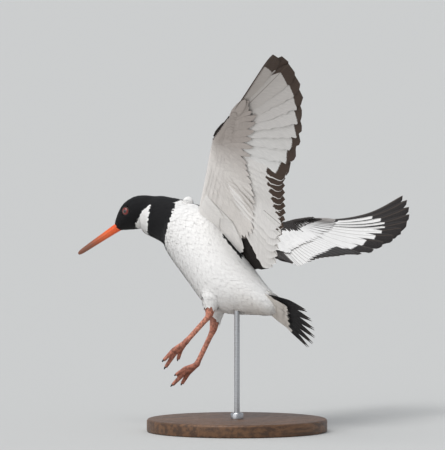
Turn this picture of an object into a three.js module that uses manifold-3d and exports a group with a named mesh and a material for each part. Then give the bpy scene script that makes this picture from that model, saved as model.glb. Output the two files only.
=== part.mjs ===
// Oystercatcher landing: a life-size display model held over a flat base by one rod.
// Millimetres, Z up, the bird heading to -Y, its left side to +X.
import * as THREE from "three";
import { mergeVertices } from "three/addons/utils/BufferGeometryUtils.js";
import Module from "manifold-3d";

const wasm = await Module();
wasm.setup();

// Attitude of the body over the base, in degrees and millimetres.
const PITCH_UP = 31.3;
const BANK_LEFT_UP = 31.0;
const BELLY_POINT = [0, 66, -33];
const BELLY_HEIGHT = 150;

// Display stand.
const BASE_RADIUS = 112;
const BASE_HEIGHT = 16;
const BASE_EDGE = 2;
const ROD_RADIUS = 3.5;
const COLLAR_RADIUS = 8;
const COLLAR_HEIGHT = 7;
const GAP = 0.3;
const ROD_BURIED = 14;
const ROUND_SIDES = 40;
const ROD_SIDES = 16;

// Trunk outline in the body's own frame: distance back, top, bottom, half width.
const TRUNK = [
  [-100, 18, -14, 14],
  [-92, 29, -25, 25],
  [-78, 36, -34, 34],
  [-56, 40, -40, 40],
  [-28, 38, -45, 43],
  [0, 30, -50, 42],
  [26, 24, -54, 39],
  [46, 20, -49, 34],
  [66, 16, -36, 28],
  [86, 14, -22, 21],
  [102, 11, -13, 15],
  [108, 7, -8, 9],
];
const TRUNK_STATIONS = 18;
const TRUNK_SIDES = 18;

// Neck path in the body's frame: left, back, up, radius across, radius fore and aft.
const NECK = [
  [0, -72, 1, 29, 33],
  [0, -92, -2, 27, 31],
  [-1, -108, -7, 24, 28.5],
  [-2, -121.5, -11.6, 21, 27.5],
  [-3, -132.5, -15.6, 19.5, 25],
];
const NECK_STATIONS = 8;
const NECK_SIDES = 16;

// Head, in a frame of its own that looks along the bill and stays level.
const HEAD_CENTRE = [-2.5, -144.5, -24.5];
const BILL_AIM = [-0.223, -0.425, -0.877];
const CROWN_AIM = [0.322, -0.891, 0.314];
const HEAD = [
  [-31, 6, -7, 7.5],
  [-25, 11.5, -12, 12.5],
  [-18, 16, -17.5, 16],
  [-9, 20.3, -20.5, 18],
  [2, 21.5, -19.5, 17.8],
  [12, 20.3, -16, 15.6],
  [21, 16, -11.5, 12],
  [28, 11, -8, 8.4],
  [34, 6.6, -5.8, 5.4],
];
const HEAD_STATIONS = 13;
const HEAD_SIDES = 14;
const EYE_RADIUS = 5.2;
const EYE_AHEAD = 6.8;
const EYE_ABOVE = 7.3;
const EYE_ASIDE = 12.3;

// Bill halves: distance ahead of the head's centre, upper edge, gape line, lower edge, half width.
const BILL = [
  [30, 5.2, -0.6, -6.2, 4.4],
  [36, 5.0, -0.8, -5.9, 4.0],
  [50, 4.2, -1.1, -5.4, 3.2],
  [66, 3.4, -1.3, -5.0, 2.5],
  [82, 2.6, -1.4, -4.7, 1.9],
  [95, 1.5, -1.5, -4.1, 1.4],
  [99, 0.1, -1.55, -2.9, 0.9],
];
const BILL_SIDES = 8;

// Tail fan in the body's frame: roots on a short arc, tips spread on a wide one.
const TAIL_ROOT = [0, 88, 1];
const TAIL_FINGERS = 6;
const TAIL_SLOTS = [0.76, 0.76];
const TAIL_LENGTH = 82;
const TAIL_OUTER_SHORTER = 0.1;
const TAIL_SPREAD = 21;
const TAIL_ROOT_WIDTH = 22;
const TAIL_LIFT = 8;
const TAIL_TURN = 5;
const TAIL_TWIST = 24;

// Wings. Bones in millimetres, feather keys as distance along the arm (0 shoulder, 1 elbow,
// 2 wrist, 3 hand tip), sweep back from straight out, rise above level, and length.
const SHOULDER = [24, -52, 28];
const HUMERUS = 76;
const ULNA = 80;
const HAND = 60;
const PRIMARY_LENGTH = 188;
const LEFT_WING = {
  side: 1,
  arm: [3, 36],
  reach: 124,
  hand: [31, 31],
  bend: 0.06,
  keys: [
    [0.3, 122, -16, 80],
    [0.9, 122, -17, 95],
    [1.1, 114, -11, 95],
    [1.25, 110, -5, 96],
    [1.5, 111, 5, 97],
    [1.75, 103, 11, 100],
    [1.95, 96, 16, 106],
    [2.05, 89, 21, 116],
    [2.2, 74, 28, 132],
    [2.4, 58, 32, 154],
    [2.62, 45, 34, 175],
    [2.87, 33, 32, 187],
    [3.0, 29, 28, 188],
  ],
};
const RIGHT_WING = {
  side: -1,
  arm: [-2, 31],
  reach: 124,
  hand: [-8, 30],
  bend: 0.2,
  keys: [
    [0.3, 112, 4, 84],
    [0.9, 121, -4, 95],
    [1.1, 120, -5, 98],
    [1.25, 117, -2, 98],
    [1.5, 110, 4, 98],
    [1.75, 97, 11, 100],
    [1.95, 82, 17, 102],
    [2.05, 62, 21, 104],
    [2.2, 34, 27, 124],
    [2.4, 20, 32, 152],
    [2.62, 10, 35, 174],
    [2.87, -3, 36, 187],
    [3.0, -9, 35, 188],
  ],
};
const PRIMARIES = {
  count: 10, ends: [3.05, 2.002], from: 3.0, to: 2.05, slots: [0.62, 0.9], plain: false,
};
const SECONDARIES = {
  count: 15, ends: [1.998, 0.94], from: 1.995, to: 0.945, slots: [0.96, 0.96], plain: true,
};
const TERTIALS = {
  count: 5, ends: [0.93, 0.12], from: 0.87, to: 0.2, slots: [0.86, 0.86], plain: false,
};
const FAN_STATIONS = 3;
const LINE_APART = 0.05;
const FAN_ROOT_THICKNESS = 2.4;
const FAN_TIP_THICKNESS = 1.0;
const ARM_STATIONS = 11;
const HAND_STATIONS = 6;
const ARM_THICKNESS = [17, 9];
const HAND_THICKNESS = [9, 4.5];
const ARM_BEHIND_BONE = 24;
const HAND_BEHIND_BONE = 15;
const LEADING_EDGE = [9, 2];
const HAND_LEADING_EDGE = [2.5, 3];
const HAND_TIP_DEPTH = 6;
const FIRST_KEY = 0.3;
const ALULA_ROOT = 9;
const ALULA_AHEAD = 2.5;
const ALULA_HALF_THICKNESS = 1.1;
const ALULA_OUTLINE = [[0, 3], [0.3, 5], [0.7, 4.4], [0.93, 2.6], [1, 0.9]];
const ALULA_LENGTH = 44;
const ALULA_TURN = 1;

// Legs in the body's frame: hip, ankle, toe joint, and three toe tips, left then right.
const LEFT_LEG = {
  hip: [17, 34, -40],
  ankle: [14, 50, -61],
  joint: [22, 56, -105],
  toes: { inner: [8, 57, -129], middle: [19, 58, -148], outer: [29, 55, -143] },
};
const RIGHT_LEG = {
  hip: [-15, 24, -38],
  ankle: [-14, 50, -70],
  joint: [-20, 63, -116],
  toes: { inner: [-12, 55, -145], middle: [-18, 58, -158], outer: [-30, 60, -148] },
};
const THIGH_RADII = [13, 7, 4.4];
const TARSUS_RADII = [4.2, 3.1, 3.0, 3.8];
const PAST_JOINT = 2;
const PAST_JOINT_RADIUS = 2.6;
const TOE_RADII = [3.3, 3.0, 2.1];
const TOE_FLESH = 0.85;
const TOE_ARCH = 2.5;
const KNUCKLE = 0.45;
const CLAW_HELD = 0.08;
const CLAW_RADII = [1.2, 1.1, 0.4];
const LEG_SIDES = 10;
const TOE_SIDES = 8;

const RAD = Math.PI / 180;
const lerp = (a, b, t) => a + (b - a) * t;
const point = (list) => new THREE.Vector3(list[0], list[1], list[2]);
const between = (a, b, t) => a.clone().lerp(b, t);

// Value of a smooth table at its first column's place; every column is interpolated.
function table(rows, place) {
  const last = rows.length - 1;
  let k = 0;
  while (k < last - 1 && place > rows[k + 1][0]) {
    k += 1;
  }
  const a = rows[Math.max(k - 1, 0)];
  const b = rows[k];
  const c = rows[k + 1];
  const d = rows[Math.min(k + 2, last)];
  const t = (place - b[0]) / (c[0] - b[0]);
  return b.map((value, j) => {
    const slopeB = ((c[j] - a[j]) / (c[0] - a[0])) * (c[0] - b[0]);
    const slopeC = ((d[j] - b[j]) / (d[0] - b[0])) * (c[0] - b[0]);
    const t2 = t * t;
    const t3 = t2 * t;
    return (
      (2 * t3 - 3 * t2 + 1) * value + (t3 - 2 * t2 + t) * slopeB +
      (3 * t2 - 2 * t3) * c[j] + (t3 - t2) * slopeC
    );
  });
}

// Closed skin over equal rings with an even number of points, capped across at both ends.
function loft(rings) {
  const sides = rings[0].length;
  const places = [];
  rings.forEach((ring) => ring.forEach((p) => places.push(p.x, p.y, p.z)));
  const faces = [];
  for (let i = 0; i < rings.length - 1; i += 1) {
    for (let j = 0; j < sides; j += 1) {
      const a = i * sides + j;
      const b = i * sides + ((j + 1) % sides);
      faces.push(a, b, a + sides, b, b + sides, a + sides);
    }
  }
  const end = (rings.length - 1) * sides;
  for (let j = 0; j < sides / 2 - 1; j += 1) {
    const far = sides - 1 - j;
    const near = far - 1;
    if (j + 1 < near) {
      faces.push(j, near, j + 1);
      faces.push(end + j, end + j + 1, end + near);
    }
    faces.push(j, far, near);
    faces.push(end + j, end + near, end + far);
  }
  const geometry = new THREE.BufferGeometry();
  geometry.setAttribute("position", new THREE.Float32BufferAttribute(places, 3));
  geometry.setIndex(faces);
  return outward(geometry);
}

// Turns every face over when the enclosed volume comes out negative.
function outward(geometry) {
  const p = geometry.attributes.position;
  const index = geometry.index.array;
  const a = new THREE.Vector3();
  const b = new THREE.Vector3();
  const c = new THREE.Vector3();
  let volume = 0;
  for (let i = 0; i < index.length; i += 3) {
    a.fromBufferAttribute(p, index[i]);
    b.fromBufferAttribute(p, index[i + 1]);
    c.fromBufferAttribute(p, index[i + 2]);
    volume += a.dot(b.cross(c));
  }
  if (volume < 0) {
    for (let i = 0; i < index.length; i += 3) {
      [index[i + 1], index[i + 2]] = [index[i + 2], index[i + 1]];
    }
  }
  return geometry;
}

function toSolid(geometry) {
  const bare = geometry.clone();
  bare.deleteAttribute("normal");
  bare.deleteAttribute("uv");
  const merged = mergeVertices(bare, 1e-4);
  return new wasm.Manifold(new wasm.Mesh({
    numProp: 3,
    vertProperties: Float32Array.from(merged.attributes.position.array),
    triVerts: Uint32Array.from(merged.index.array),
  }));
}

function fromSolid(solid) {
  const mesh = solid.getMesh();
  const geometry = new THREE.BufferGeometry();
  geometry.setAttribute("position", new THREE.Float32BufferAttribute(mesh.vertProperties, 3));
  geometry.setIndex(Array.from(mesh.triVerts));
  return geometry;
}

// A geometry less the others; of what is left, the largest piece.
function cut(geometry, others) {
  let solid = toSolid(geometry);
  others.forEach((other) => {
    solid = solid.subtract(toSolid(other));
  });
  const pieces = solid.decompose().sort((a, b) => b.volume() - a.volume());
  return fromSolid(pieces[0]);
}

// Ring of an ellipse round a centre, with separate radii above and below its middle.
function ring(centre, across, upward, width, above, below, sides) {
  const points = [];
  for (let j = 0; j < sides; j += 1) {
    const angle = (2 * Math.PI * j) / sides;
    const rise = Math.sin(angle);
    points.push(centre.clone()
      .addScaledVector(across, Math.cos(angle) * width)
      .addScaledVector(upward, rise * (rise > 0 ? above : below)));
  }
  return points;
}

// Trunk, neck and head
function trunk(grow) {
  const rings = [];
  const from = TRUNK[0][0];
  const to = TRUNK[TRUNK.length - 1][0];
  for (let i = 0; i <= TRUNK_STATIONS; i += 1) {
    const [, top, bottom, half] = table(TRUNK, lerp(from, to, i / TRUNK_STATIONS));
    const place = lerp(from - grow, to + grow, i / TRUNK_STATIONS);
    const middle = (top + bottom) / 2;
    const height = (top - bottom) / 2 + grow;
    rings.push(ring(new THREE.Vector3(0, place, middle), new THREE.Vector3(1, 0, 0),
      new THREE.Vector3(0, 0, 1), half + grow, height, height, TRUNK_SIDES));
  }
  return loft(rings);
}

function neck(grow) {
  const rows = NECK.map((row, k) => [k, ...row]);
  const rings = [];
  for (let i = 0; i <= NECK_STATIONS; i += 1) {
    const place = lerp(0, NECK.length - 1, i / NECK_STATIONS);
    const [, x, y, z, wide, deep] = table(rows, place);
    const next = table(rows, place + 0.02);
    const along = new THREE.Vector3(next[1] - x, next[2] - y, next[3] - z).normalize();
    const across = new THREE.Vector3(1, 0, 0);
    const upward = new THREE.Vector3().crossVectors(across, along).normalize();
    const centre = new THREE.Vector3(x, y, z);
    centre.addScaledVector(along, i === NECK_STATIONS ? grow : 0);
    rings.push(ring(centre, across, upward, wide + grow, deep + grow, deep + grow, NECK_SIDES));
  }
  return loft(rings);
}

const billAxis = point(BILL_AIM).normalize();
const headLeft = new THREE.Vector3().crossVectors(point(CROWN_AIM), billAxis).normalize();
const headUp = new THREE.Vector3().crossVectors(billAxis, headLeft).normalize();

function onHead(left, ahead, above) {
  return point(HEAD_CENTRE)
    .addScaledVector(headLeft, left)
    .addScaledVector(billAxis, ahead)
    .addScaledVector(headUp, above);
}

function head(grow) {
  const rings = [];
  const from = HEAD[0][0];
  const to = HEAD[HEAD.length - 1][0];
  for (let i = 0; i <= HEAD_STATIONS; i += 1) {
    const [, top, bottom, half] = table(HEAD, lerp(from, to, i / HEAD_STATIONS));
    const place = lerp(from - grow, to + grow, i / HEAD_STATIONS);
    rings.push(ring(onHead(0, place, 0), headLeft, headUp, half + grow, top + grow,
      grow - bottom, HEAD_SIDES));
  }
  return loft(rings);
}

function eye(side, grow) {
  const ball = new THREE.SphereGeometry(EYE_RADIUS + grow, 12, 8);
  const place = onHead(side * EYE_ASIDE, EYE_AHEAD, EYE_ABOVE);
  return ball.translate(place.x, place.y, place.z);
}

// One half of the bill: a D-shaped section between the gape line and its outer edge.
function billHalf(upper, grow) {
  const rings = BILL.map(([ahead, top, gape, bottom, half]) => {
    const flat = upper ? gape + GAP / 2 - grow : gape - GAP / 2 + grow;
    const reach = (upper ? top - flat : flat - bottom) + grow;
    const points = [];
    for (let j = 0; j < BILL_SIDES; j += 1) {
      const angle = (Math.PI * j) / (BILL_SIDES - 1);
      const rise = (upper ? 1 : -1) * Math.sin(angle) * reach;
      points.push(onHead(Math.cos(angle) * (half + grow), ahead, flat + rise));
    }
    return points;
  });
  return loft(rings);
}

// Direction out from the body: side, sweep back and rise above level, in degrees.
function aim(side, sweep, rise) {
  return new THREE.Vector3(
    side * Math.cos(sweep * RAD) * Math.cos(rise * RAD),
    Math.sin(sweep * RAD) * Math.cos(rise * RAD),
    Math.sin(rise * RAD),
  );
}

// Wing frame: joints, and the bone place, feather direction and length at any distance along.
function wingFrame(wing) {
  const shoulder = new THREE.Vector3(wing.side * SHOULDER[0], SHOULDER[1], SHOULDER[2]);
  const out = aim(wing.side, ...wing.arm);
  const wrist = shoulder.clone().addScaledVector(out, wing.reach);
  const tip = wrist.clone().addScaledVector(aim(wing.side, ...wing.hand), HAND);
  const feather = (u) => {
    const [, sweep, rise, length] = table(wing.keys, Math.min(Math.max(u, FIRST_KEY), 3));
    return { direction: aim(wing.side, sweep, rise), length };
  };
  const back = feather(1).direction;
  back.addScaledVector(out, -back.dot(out)).normalize();
  const along = (HUMERUS ** 2 - ULNA ** 2 + wing.reach ** 2) / (2 * wing.reach);
  const aside = Math.sqrt(HUMERUS ** 2 - along ** 2);
  const elbow = shoulder.clone().addScaledVector(out, along).addScaledVector(back, aside);
  const joints = [shoulder, elbow, wrist, tip];
  const bone = (u) => {
    const k = Math.min(Math.max(Math.floor(u), 0), 2);
    return between(joints[k], joints[k + 1], u - k);
  };
  const normal = (u) => {
    const span = bone(Math.min(u + 0.5, 3)).sub(bone(Math.max(u - 0.5, 0)));
    const { direction } = feather(u);
    return new THREE.Vector3().crossVectors(span, direction).multiplyScalar(wing.side).normalize();
  };
  return { side: wing.side, bend: wing.bend, joints, bone, feather, normal };
}

// Rounded airfoil section from a leading point to a trailing point.
function airfoil(front, rear, normal, thickness, grow) {
  const chord = rear.clone().sub(front);
  const length = chord.length();
  chord.normalize();
  const shape = [[0, 0], [0.1, 0.62], [0.3, 1], [0.6, 0.78], [0.85, 0.42], [1, 0]];
  const upper = shape.map(([c, h]) => [c, h * 0.6]);
  const lower = shape.slice(1, -1).reverse().map(([c, h]) => [c, -h * 0.4]);
  return upper.concat(lower).map(([c, h]) => {
    const ends = c === 0 ? -grow * 2 : c === 1 ? grow * 2 : 0;
    return front.clone()
      .addScaledVector(chord, c * length + ends)
      .addScaledVector(normal, h * thickness + Math.sign(h) * grow);
  });
}

function wingArm(frame, grow) {
  const [shoulder, , wrist] = frame.joints;
  const out = wrist.clone().sub(shoulder).normalize();
  const rings = [];
  for (let i = 0; i <= ARM_STATIONS; i += 1) {
    const a = i / ARM_STATIONS;
    const u = 2 * a;
    const { direction } = frame.feather(u);
    const ahead = direction.clone().addScaledVector(out, -direction.dot(out)).normalize();
    const bulge = lerp(...LEADING_EDGE, a);
    const front = between(shoulder, wrist, a).addScaledVector(ahead, -bulge);
    const rear = frame.bone(u).addScaledVector(direction, ARM_BEHIND_BONE);
    const slide = i === ARM_STATIONS ? grow : 0;
    front.addScaledVector(out, slide);
    rear.addScaledVector(out, slide);
    rings.push(airfoil(front, rear, frame.normal(u), lerp(...ARM_THICKNESS, a), grow));
  }
  return loft(rings);
}

function wingHand(frame, grow) {
  const [, , wrist, tip] = frame.joints;
  const out = tip.clone().sub(wrist).normalize();
  const rings = [];
  for (let i = 0; i <= HAND_STATIONS; i += 1) {
    const a = i / HAND_STATIONS;
    const u = 2 + a;
    const { direction } = frame.feather(u);
    const normal = frame.normal(2.5);
    const ahead = new THREE.Vector3().crossVectors(normal, out).multiplyScalar(frame.side);
    const front = frame.bone(u).addScaledVector(ahead, -lerp(...HAND_LEADING_EDGE, a));
    const rear = frame.bone(u).addScaledVector(direction, lerp(HAND_BEHIND_BONE, HAND_TIP_DEPTH, a));
    const slide = i === HAND_STATIONS ? grow : 0;
    front.addScaledVector(out, slide);
    rear.addScaledVector(out, slide);
    rings.push(airfoil(front, rear, normal, lerp(...HAND_THICKNESS, a), grow));
  }
  return loft(rings);
}

// Thin closed sheet over lines, each with a start, an end, a normal and an upward bend near its end.
function sheet(lines) {
  const rings = lines.map(({ start, end, normal, bend }) => {
    const upper = [];
    const lower = [];
    for (let j = 0; j <= FAN_STATIONS; j += 1) {
      const v = j / FAN_STATIONS;
      const half = lerp(FAN_ROOT_THICKNESS, FAN_TIP_THICKNESS, v) / 2;
      const middle = between(start, end, v).addScaledVector(normal, bend * (v ** 3 - v));
      upper.push(middle.clone().addScaledVector(normal, half));
      lower.unshift(middle.clone().addScaledVector(normal, -half));
    }
    return upper.concat(lower);
  });
  return loft(rings);
}

// How far towards the tip the outline reaches at a place inside one feather.
function fanOutline(count, slots, plain) {
  const offsets = plain ? [[-0.5, 0], [0, 2]] : [[-0.5, 0], [-0.25, 1], [0.05, 2]];
  const stops = [];
  for (let f = 0; f < count; f += 1) {
    offsets.forEach(([offset, kind]) => {
      if (f > 0 || kind > 0) {
        const slot = lerp(...slots, Math.min(f / 5, 1));
        stops.push([f + offset, [slot, lerp(slot, 1, 0.7), 1][kind]]);
      }
    });
  }
  return stops;
}

function wingFan(frame, fan) {
  const lines = fanOutline(fan.count, fan.slots, fan.plain).map(([place, reach]) => {
    const u = lerp(fan.from, fan.to, place / (fan.count - 1));
    const held = Math.min(Math.max(u, fan.ends[1]), fan.ends[0]);
    const { direction, length } = frame.feather(held);
    const start = frame.bone(held);
    const end = start.clone().addScaledVector(direction, length * reach);
    const bend = (frame.bend * length ** 3) / PRIMARY_LENGTH ** 2;
    return { start, end, normal: frame.normal(held), bend };
  });
  const apart = (line, k) => k === 0 || line.start.distanceTo(lines[k - 1].start) > LINE_APART;
  return sheet(lines.filter(apart));
}

function alula(frame) {
  const [, , wrist, tip] = frame.joints;
  const out = tip.clone().sub(wrist).normalize();
  const normal = frame.normal(2.5);
  const ahead = new THREE.Vector3().crossVectors(normal, out).multiplyScalar(-frame.side);
  const aimed = out.clone().multiplyScalar(Math.cos(ALULA_TURN * RAD))
    .addScaledVector(ahead, Math.sin(ALULA_TURN * RAD));
  const rings = ALULA_OUTLINE.map(([a, half]) => {
    const middle = wrist.clone().addScaledVector(ahead, ALULA_AHEAD)
      .addScaledVector(out, ALULA_ROOT).addScaledVector(aimed, a * ALULA_LENGTH);
    const across = new THREE.Vector3().crossVectors(normal, aimed);
    return ring(middle, across, normal, half, ALULA_HALF_THICKNESS, ALULA_HALF_THICKNESS, 8);
  });
  return loft(rings);
}

function tailFan() {
  const stops = fanOutline(TAIL_FINGERS, TAIL_SLOTS, false);
  const twist = new THREE.Vector3(Math.cos(TAIL_TWIST * RAD), 0, Math.sin(TAIL_TWIST * RAD));
  const lines = stops.map(([place, reach]) => {
    const across = (2 * place) / (TAIL_FINGERS - 1) - 1;
    const angle = -(across * TAIL_SPREAD + TAIL_TURN) * RAD;
    const length = TAIL_LENGTH * reach * (1 - TAIL_OUTER_SHORTER * across * across);
    const start = point(TAIL_ROOT).addScaledVector(twist, (-across * TAIL_ROOT_WIDTH) / 2);
    const direction = twist.clone().multiplyScalar(Math.sin(angle));
    direction.y += Math.cos(angle) * Math.cos(TAIL_LIFT * RAD);
    direction.z += Math.cos(angle) * Math.sin(TAIL_LIFT * RAD);
    const normal = new THREE.Vector3().crossVectors(twist, direction).normalize();
    const end = start.clone().addScaledVector(direction, length);
    return { start, end, normal, bend: -2 * across * across };
  });
  return sheet(lines);
}

// Limb of round section through a few points.
function limb(points, radii, sides, grow) {
  const first = points[0].clone().sub(points[1]).setLength(grow).add(points[0]);
  const n = points.length - 1;
  const final = points[n].clone().sub(points[n - 1]).setLength(grow).add(points[n]);
  const path = grow > 0 ? [first, ...points.slice(1, n), final] : points;
  const rings = path.map((p, k) => {
    const along = path[Math.min(k + 1, n)].clone().sub(path[Math.max(k - 1, 0)]).normalize();
    const across = new THREE.Vector3(1, 0, 0).addScaledVector(along, -along.x).normalize();
    const upward = new THREE.Vector3().crossVectors(along, across);
    const r = radii[k] + grow;
    return ring(p, across, upward, r, r, r, sides);
  });
  return loft(rings);
}

function legParts(leg, grow) {
  const hip = point(leg.hip);
  const ankle = point(leg.ankle);
  const joint = point(leg.joint);
  const thigh = limb([hip, between(hip, ankle, 0.55), ankle], THIGH_RADII, LEG_SIDES, grow);
  const shin = [ankle, between(ankle, joint, 0.2), between(ankle, joint, 0.85), joint];
  const past = joint.clone().sub(ankle).setLength(PAST_JOINT).add(joint);
  const tarsus = limb([...shin, past], [...TARSUS_RADII, PAST_JOINT_RADIUS], LEG_SIDES, grow);
  const toes = {};
  Object.entries(leg.toes).forEach(([name, tip]) => {
    const end = point(tip);
    const knuckle = between(joint, end, KNUCKLE).add(new THREE.Vector3(0, -TOE_ARCH, 0));
    const flesh = between(knuckle, end, TOE_FLESH);
    toes[name] = {
      toe: limb([joint, knuckle, flesh], TOE_RADII, TOE_SIDES, grow),
      claw: limb([between(knuckle, end, TOE_FLESH - CLAW_HELD), between(flesh, end, 0.5), end],
        CLAW_RADII, TOE_SIDES, 0),
    };
  });
  return { thigh, tarsus, toes };
}

// Colours and finishes
const black = new THREE.MeshStandardMaterial({ color: 0x17181a, roughness: 0.7, metalness: 0 });
const white = new THREE.MeshStandardMaterial({ color: 0xf0efeb, roughness: 0.8, metalness: 0 });
const barred = new THREE.MeshStandardMaterial({ color: 0x6a6560, roughness: 0.75, metalness: 0 });
const orange = new THREE.MeshStandardMaterial({ color: 0xd8531c, roughness: 0.4, metalness: 0 });
const red = new THREE.MeshStandardMaterial({ color: 0xa01a10, roughness: 0.15, metalness: 0 });
const flesh = new THREE.MeshStandardMaterial({ color: 0xc98274, roughness: 0.55, metalness: 0 });
const horn = new THREE.MeshStandardMaterial({ color: 0x2c2420, roughness: 0.45, metalness: 0 });
const oak = new THREE.MeshStandardMaterial({ color: 0x4a3524, roughness: 0.5, metalness: 0 });
const steel = new THREE.MeshStandardMaterial({ color: 0x8d9094, roughness: 0.35, metalness: 1 });

// Attitude of the body, and the height that leaves the toes clear of the base
const attitude = new THREE.Matrix4().makeRotationX(-PITCH_UP * RAD)
  .multiply(new THREE.Matrix4().makeRotationY(-BANK_LEFT_UP * RAD));
const belly = point(BELLY_POINT).applyMatrix4(attitude);
const place = new THREE.Matrix4().makeTranslation(-belly.x, -belly.y, BELLY_HEIGHT - belly.z)
  .multiply(attitude);

const model = new THREE.Group();
model.name = "oystercatcher";

function add(name, geometry, material, matrix) {
  const shaped = matrix ? geometry.clone().applyMatrix4(matrix) : geometry;
  const mesh = new THREE.Mesh(shaped, material);
  mesh.name = name;
  model.add(mesh);
}

// Body
const trunkGrown = trunk(GAP);
const neckGrown = neck(GAP);
const rodLine = new THREE.CylinderGeometry(ROD_RADIUS + GAP, ROD_RADIUS + GAP, 200, ROD_SIDES)
  .rotateX(Math.PI / 2)
  .translate(0, 0, BELLY_HEIGHT - 100 + ROD_BURIED + GAP)
  .applyMatrix4(place.clone().invert());
add("trunk", cut(trunk(0), [rodLine]), white, place);
add("neck", cut(neck(0), [trunkGrown]), black, place);
const headGrown = head(GAP);
const headSolid = cut(head(0), [
  neckGrown, trunkGrown, eye(1, GAP), eye(-1, GAP), billHalf(true, GAP), billHalf(false, GAP),
]);
add("head", headSolid, black, place);
add("eye_left", eye(1, 0), red, place);
add("eye_right", eye(-1, 0), red, place);
add("bill_upper", billHalf(true, 0), orange, place);
add("bill_lower", billHalf(false, 0), orange, place);
add("tail_feathers", cut(tailFan(), [trunkGrown]), barred, place);

// Wings
[LEFT_WING, RIGHT_WING].forEach((wing) => {
  const name = wing.side > 0 ? "wing_left" : "wing_right";
  const frame = wingFrame(wing);
  const armGrown = wingArm(frame, GAP);
  const handGrown = wingHand(frame, GAP);
  const torso = [trunkGrown, neckGrown, headGrown];
  add(`${name}_arm`, cut(wingArm(frame, 0), torso), white, place);
  add(`${name}_hand`, cut(wingHand(frame, 0), [armGrown]), white, place);
  add(`${name}_alula`, cut(alula(frame), [armGrown, handGrown]), barred, place);
  const limits = [trunkGrown, armGrown, handGrown];
  add(`${name}_primaries`, cut(wingFan(frame, PRIMARIES), limits), barred, place);
  add(`${name}_secondaries`, cut(wingFan(frame, SECONDARIES), limits), white, place);
  add(`${name}_tertials`, cut(wingFan(frame, TERTIALS), limits), black, place);
});

// Legs
[["left", LEFT_LEG], ["right", RIGHT_LEG]].forEach(([side, leg]) => {
  const { thigh, tarsus, toes } = legParts(leg, 0);
  const grown = legParts(leg, GAP);
  add(`leg_${side}_thigh`, cut(thigh, [trunkGrown]), white, place);
  add(`leg_${side}_tarsus`, cut(tarsus, [grown.thigh, trunkGrown]), flesh, place);
  const before = [grown.tarsus];
  Object.entries(toes).forEach(([toeName, parts]) => {
    add(`leg_${side}_toe_${toeName}`, cut(parts.toe, before), flesh, place);
    before.push(grown.toes[toeName].toe);
    add(`leg_${side}_claw_${toeName}`, cut(parts.claw, [grown.toes[toeName].toe]), horn, place);
  });
});

// Stand
const baseOutline = [
  [0, 0],
  [BASE_RADIUS - BASE_EDGE, 0],
  [BASE_RADIUS, BASE_EDGE],
  [BASE_RADIUS, BASE_HEIGHT - BASE_EDGE],
  [BASE_RADIUS - BASE_EDGE, BASE_HEIGHT],
  [0, BASE_HEIGHT],
].map(([r, z]) => new THREE.Vector2(r, z));
add("stand_base", new THREE.LatheGeometry(baseOutline, ROUND_SIDES).rotateX(Math.PI / 2), oak);
const collarBottom = BASE_HEIGHT + GAP;
const collarTop = collarBottom + COLLAR_HEIGHT;
const collarOutline = [
  [0, collarBottom],
  [COLLAR_RADIUS, collarBottom],
  [COLLAR_RADIUS, collarTop - 1],
  [COLLAR_RADIUS - 1, collarTop],
  [ROD_RADIUS, collarTop],
  [ROD_RADIUS, BELLY_HEIGHT + ROD_BURIED],
  [0, BELLY_HEIGHT + ROD_BURIED],
].map(([r, z]) => new THREE.Vector2(r, z));
add("stand_rod", new THREE.LatheGeometry(collarOutline, ROD_SIDES).rotateX(Math.PI / 2), steel);

export default model;
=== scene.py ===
# %% [markdown]
# Oystercatcher landing, a life-size display model.
# The solids from the part give the outline. This lesson lays plumage over them: one skin for the
# flesh, thousands of small vanes on the skin, rows of coverts on the wings and long flight feathers
# on the wings and tail. The first cell loads the solids.

# %% Load the solids
import math
import bmesh
import bpy
import numpy as np
from mathutils import Matrix, Vector
from mathutils.bvhtree import BVHTree


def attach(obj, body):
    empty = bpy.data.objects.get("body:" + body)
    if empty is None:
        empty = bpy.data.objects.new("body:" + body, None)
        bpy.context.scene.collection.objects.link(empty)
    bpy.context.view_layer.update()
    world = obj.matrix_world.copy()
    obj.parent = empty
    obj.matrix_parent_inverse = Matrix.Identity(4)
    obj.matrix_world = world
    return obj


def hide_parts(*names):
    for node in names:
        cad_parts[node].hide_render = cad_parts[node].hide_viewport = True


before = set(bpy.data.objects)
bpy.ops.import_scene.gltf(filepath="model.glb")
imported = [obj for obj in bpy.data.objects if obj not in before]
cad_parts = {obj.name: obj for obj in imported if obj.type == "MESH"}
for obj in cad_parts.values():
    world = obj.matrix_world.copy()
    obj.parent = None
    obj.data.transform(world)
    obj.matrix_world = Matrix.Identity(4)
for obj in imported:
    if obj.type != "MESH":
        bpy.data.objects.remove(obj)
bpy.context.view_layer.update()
print("solids:", len(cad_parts))

# %% [markdown]
# The bird was measured in a frame of its own: left, back and up, in millimetres, level and heading
# forward. The display tilts it nose up and banked. Working in the body's frame keeps the plumage
# simple, so this cell makes the turn and the shift that take it to the display, in metres.

# %% Body frame
PITCH_UP = math.radians(31.3)
BANK_LEFT_UP = math.radians(31.0)
BELLY_POINT = np.array([0.0, 66.0, -33.0])
BELLY_HEIGHT = 150.0
TURN = np.array(Matrix.Rotation(-PITCH_UP, 3, "X") @ Matrix.Rotation(-BANK_LEFT_UP, 3, "Y"))
SHIFT = np.array([0.0, 0.0, BELLY_HEIGHT]) - TURN @ BELLY_POINT


def to_display(points):
    """Body millimetres to display metres."""
    return (np.asarray(points) @ TURN.T + SHIFT) / 1000.0


def to_body(points):
    """Display metres to body millimetres."""
    return (np.asarray(points) * 1000.0 - SHIFT) @ TURN


def unit(vectors):
    """Vectors made one long, along their last axis."""
    vectors = np.asarray(vectors, float)
    return vectors / np.maximum(np.linalg.norm(vectors, axis=-1, keepdims=True), 1e-9)


def mix(a, b, t):
    return a + (b - a) * t


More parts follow.
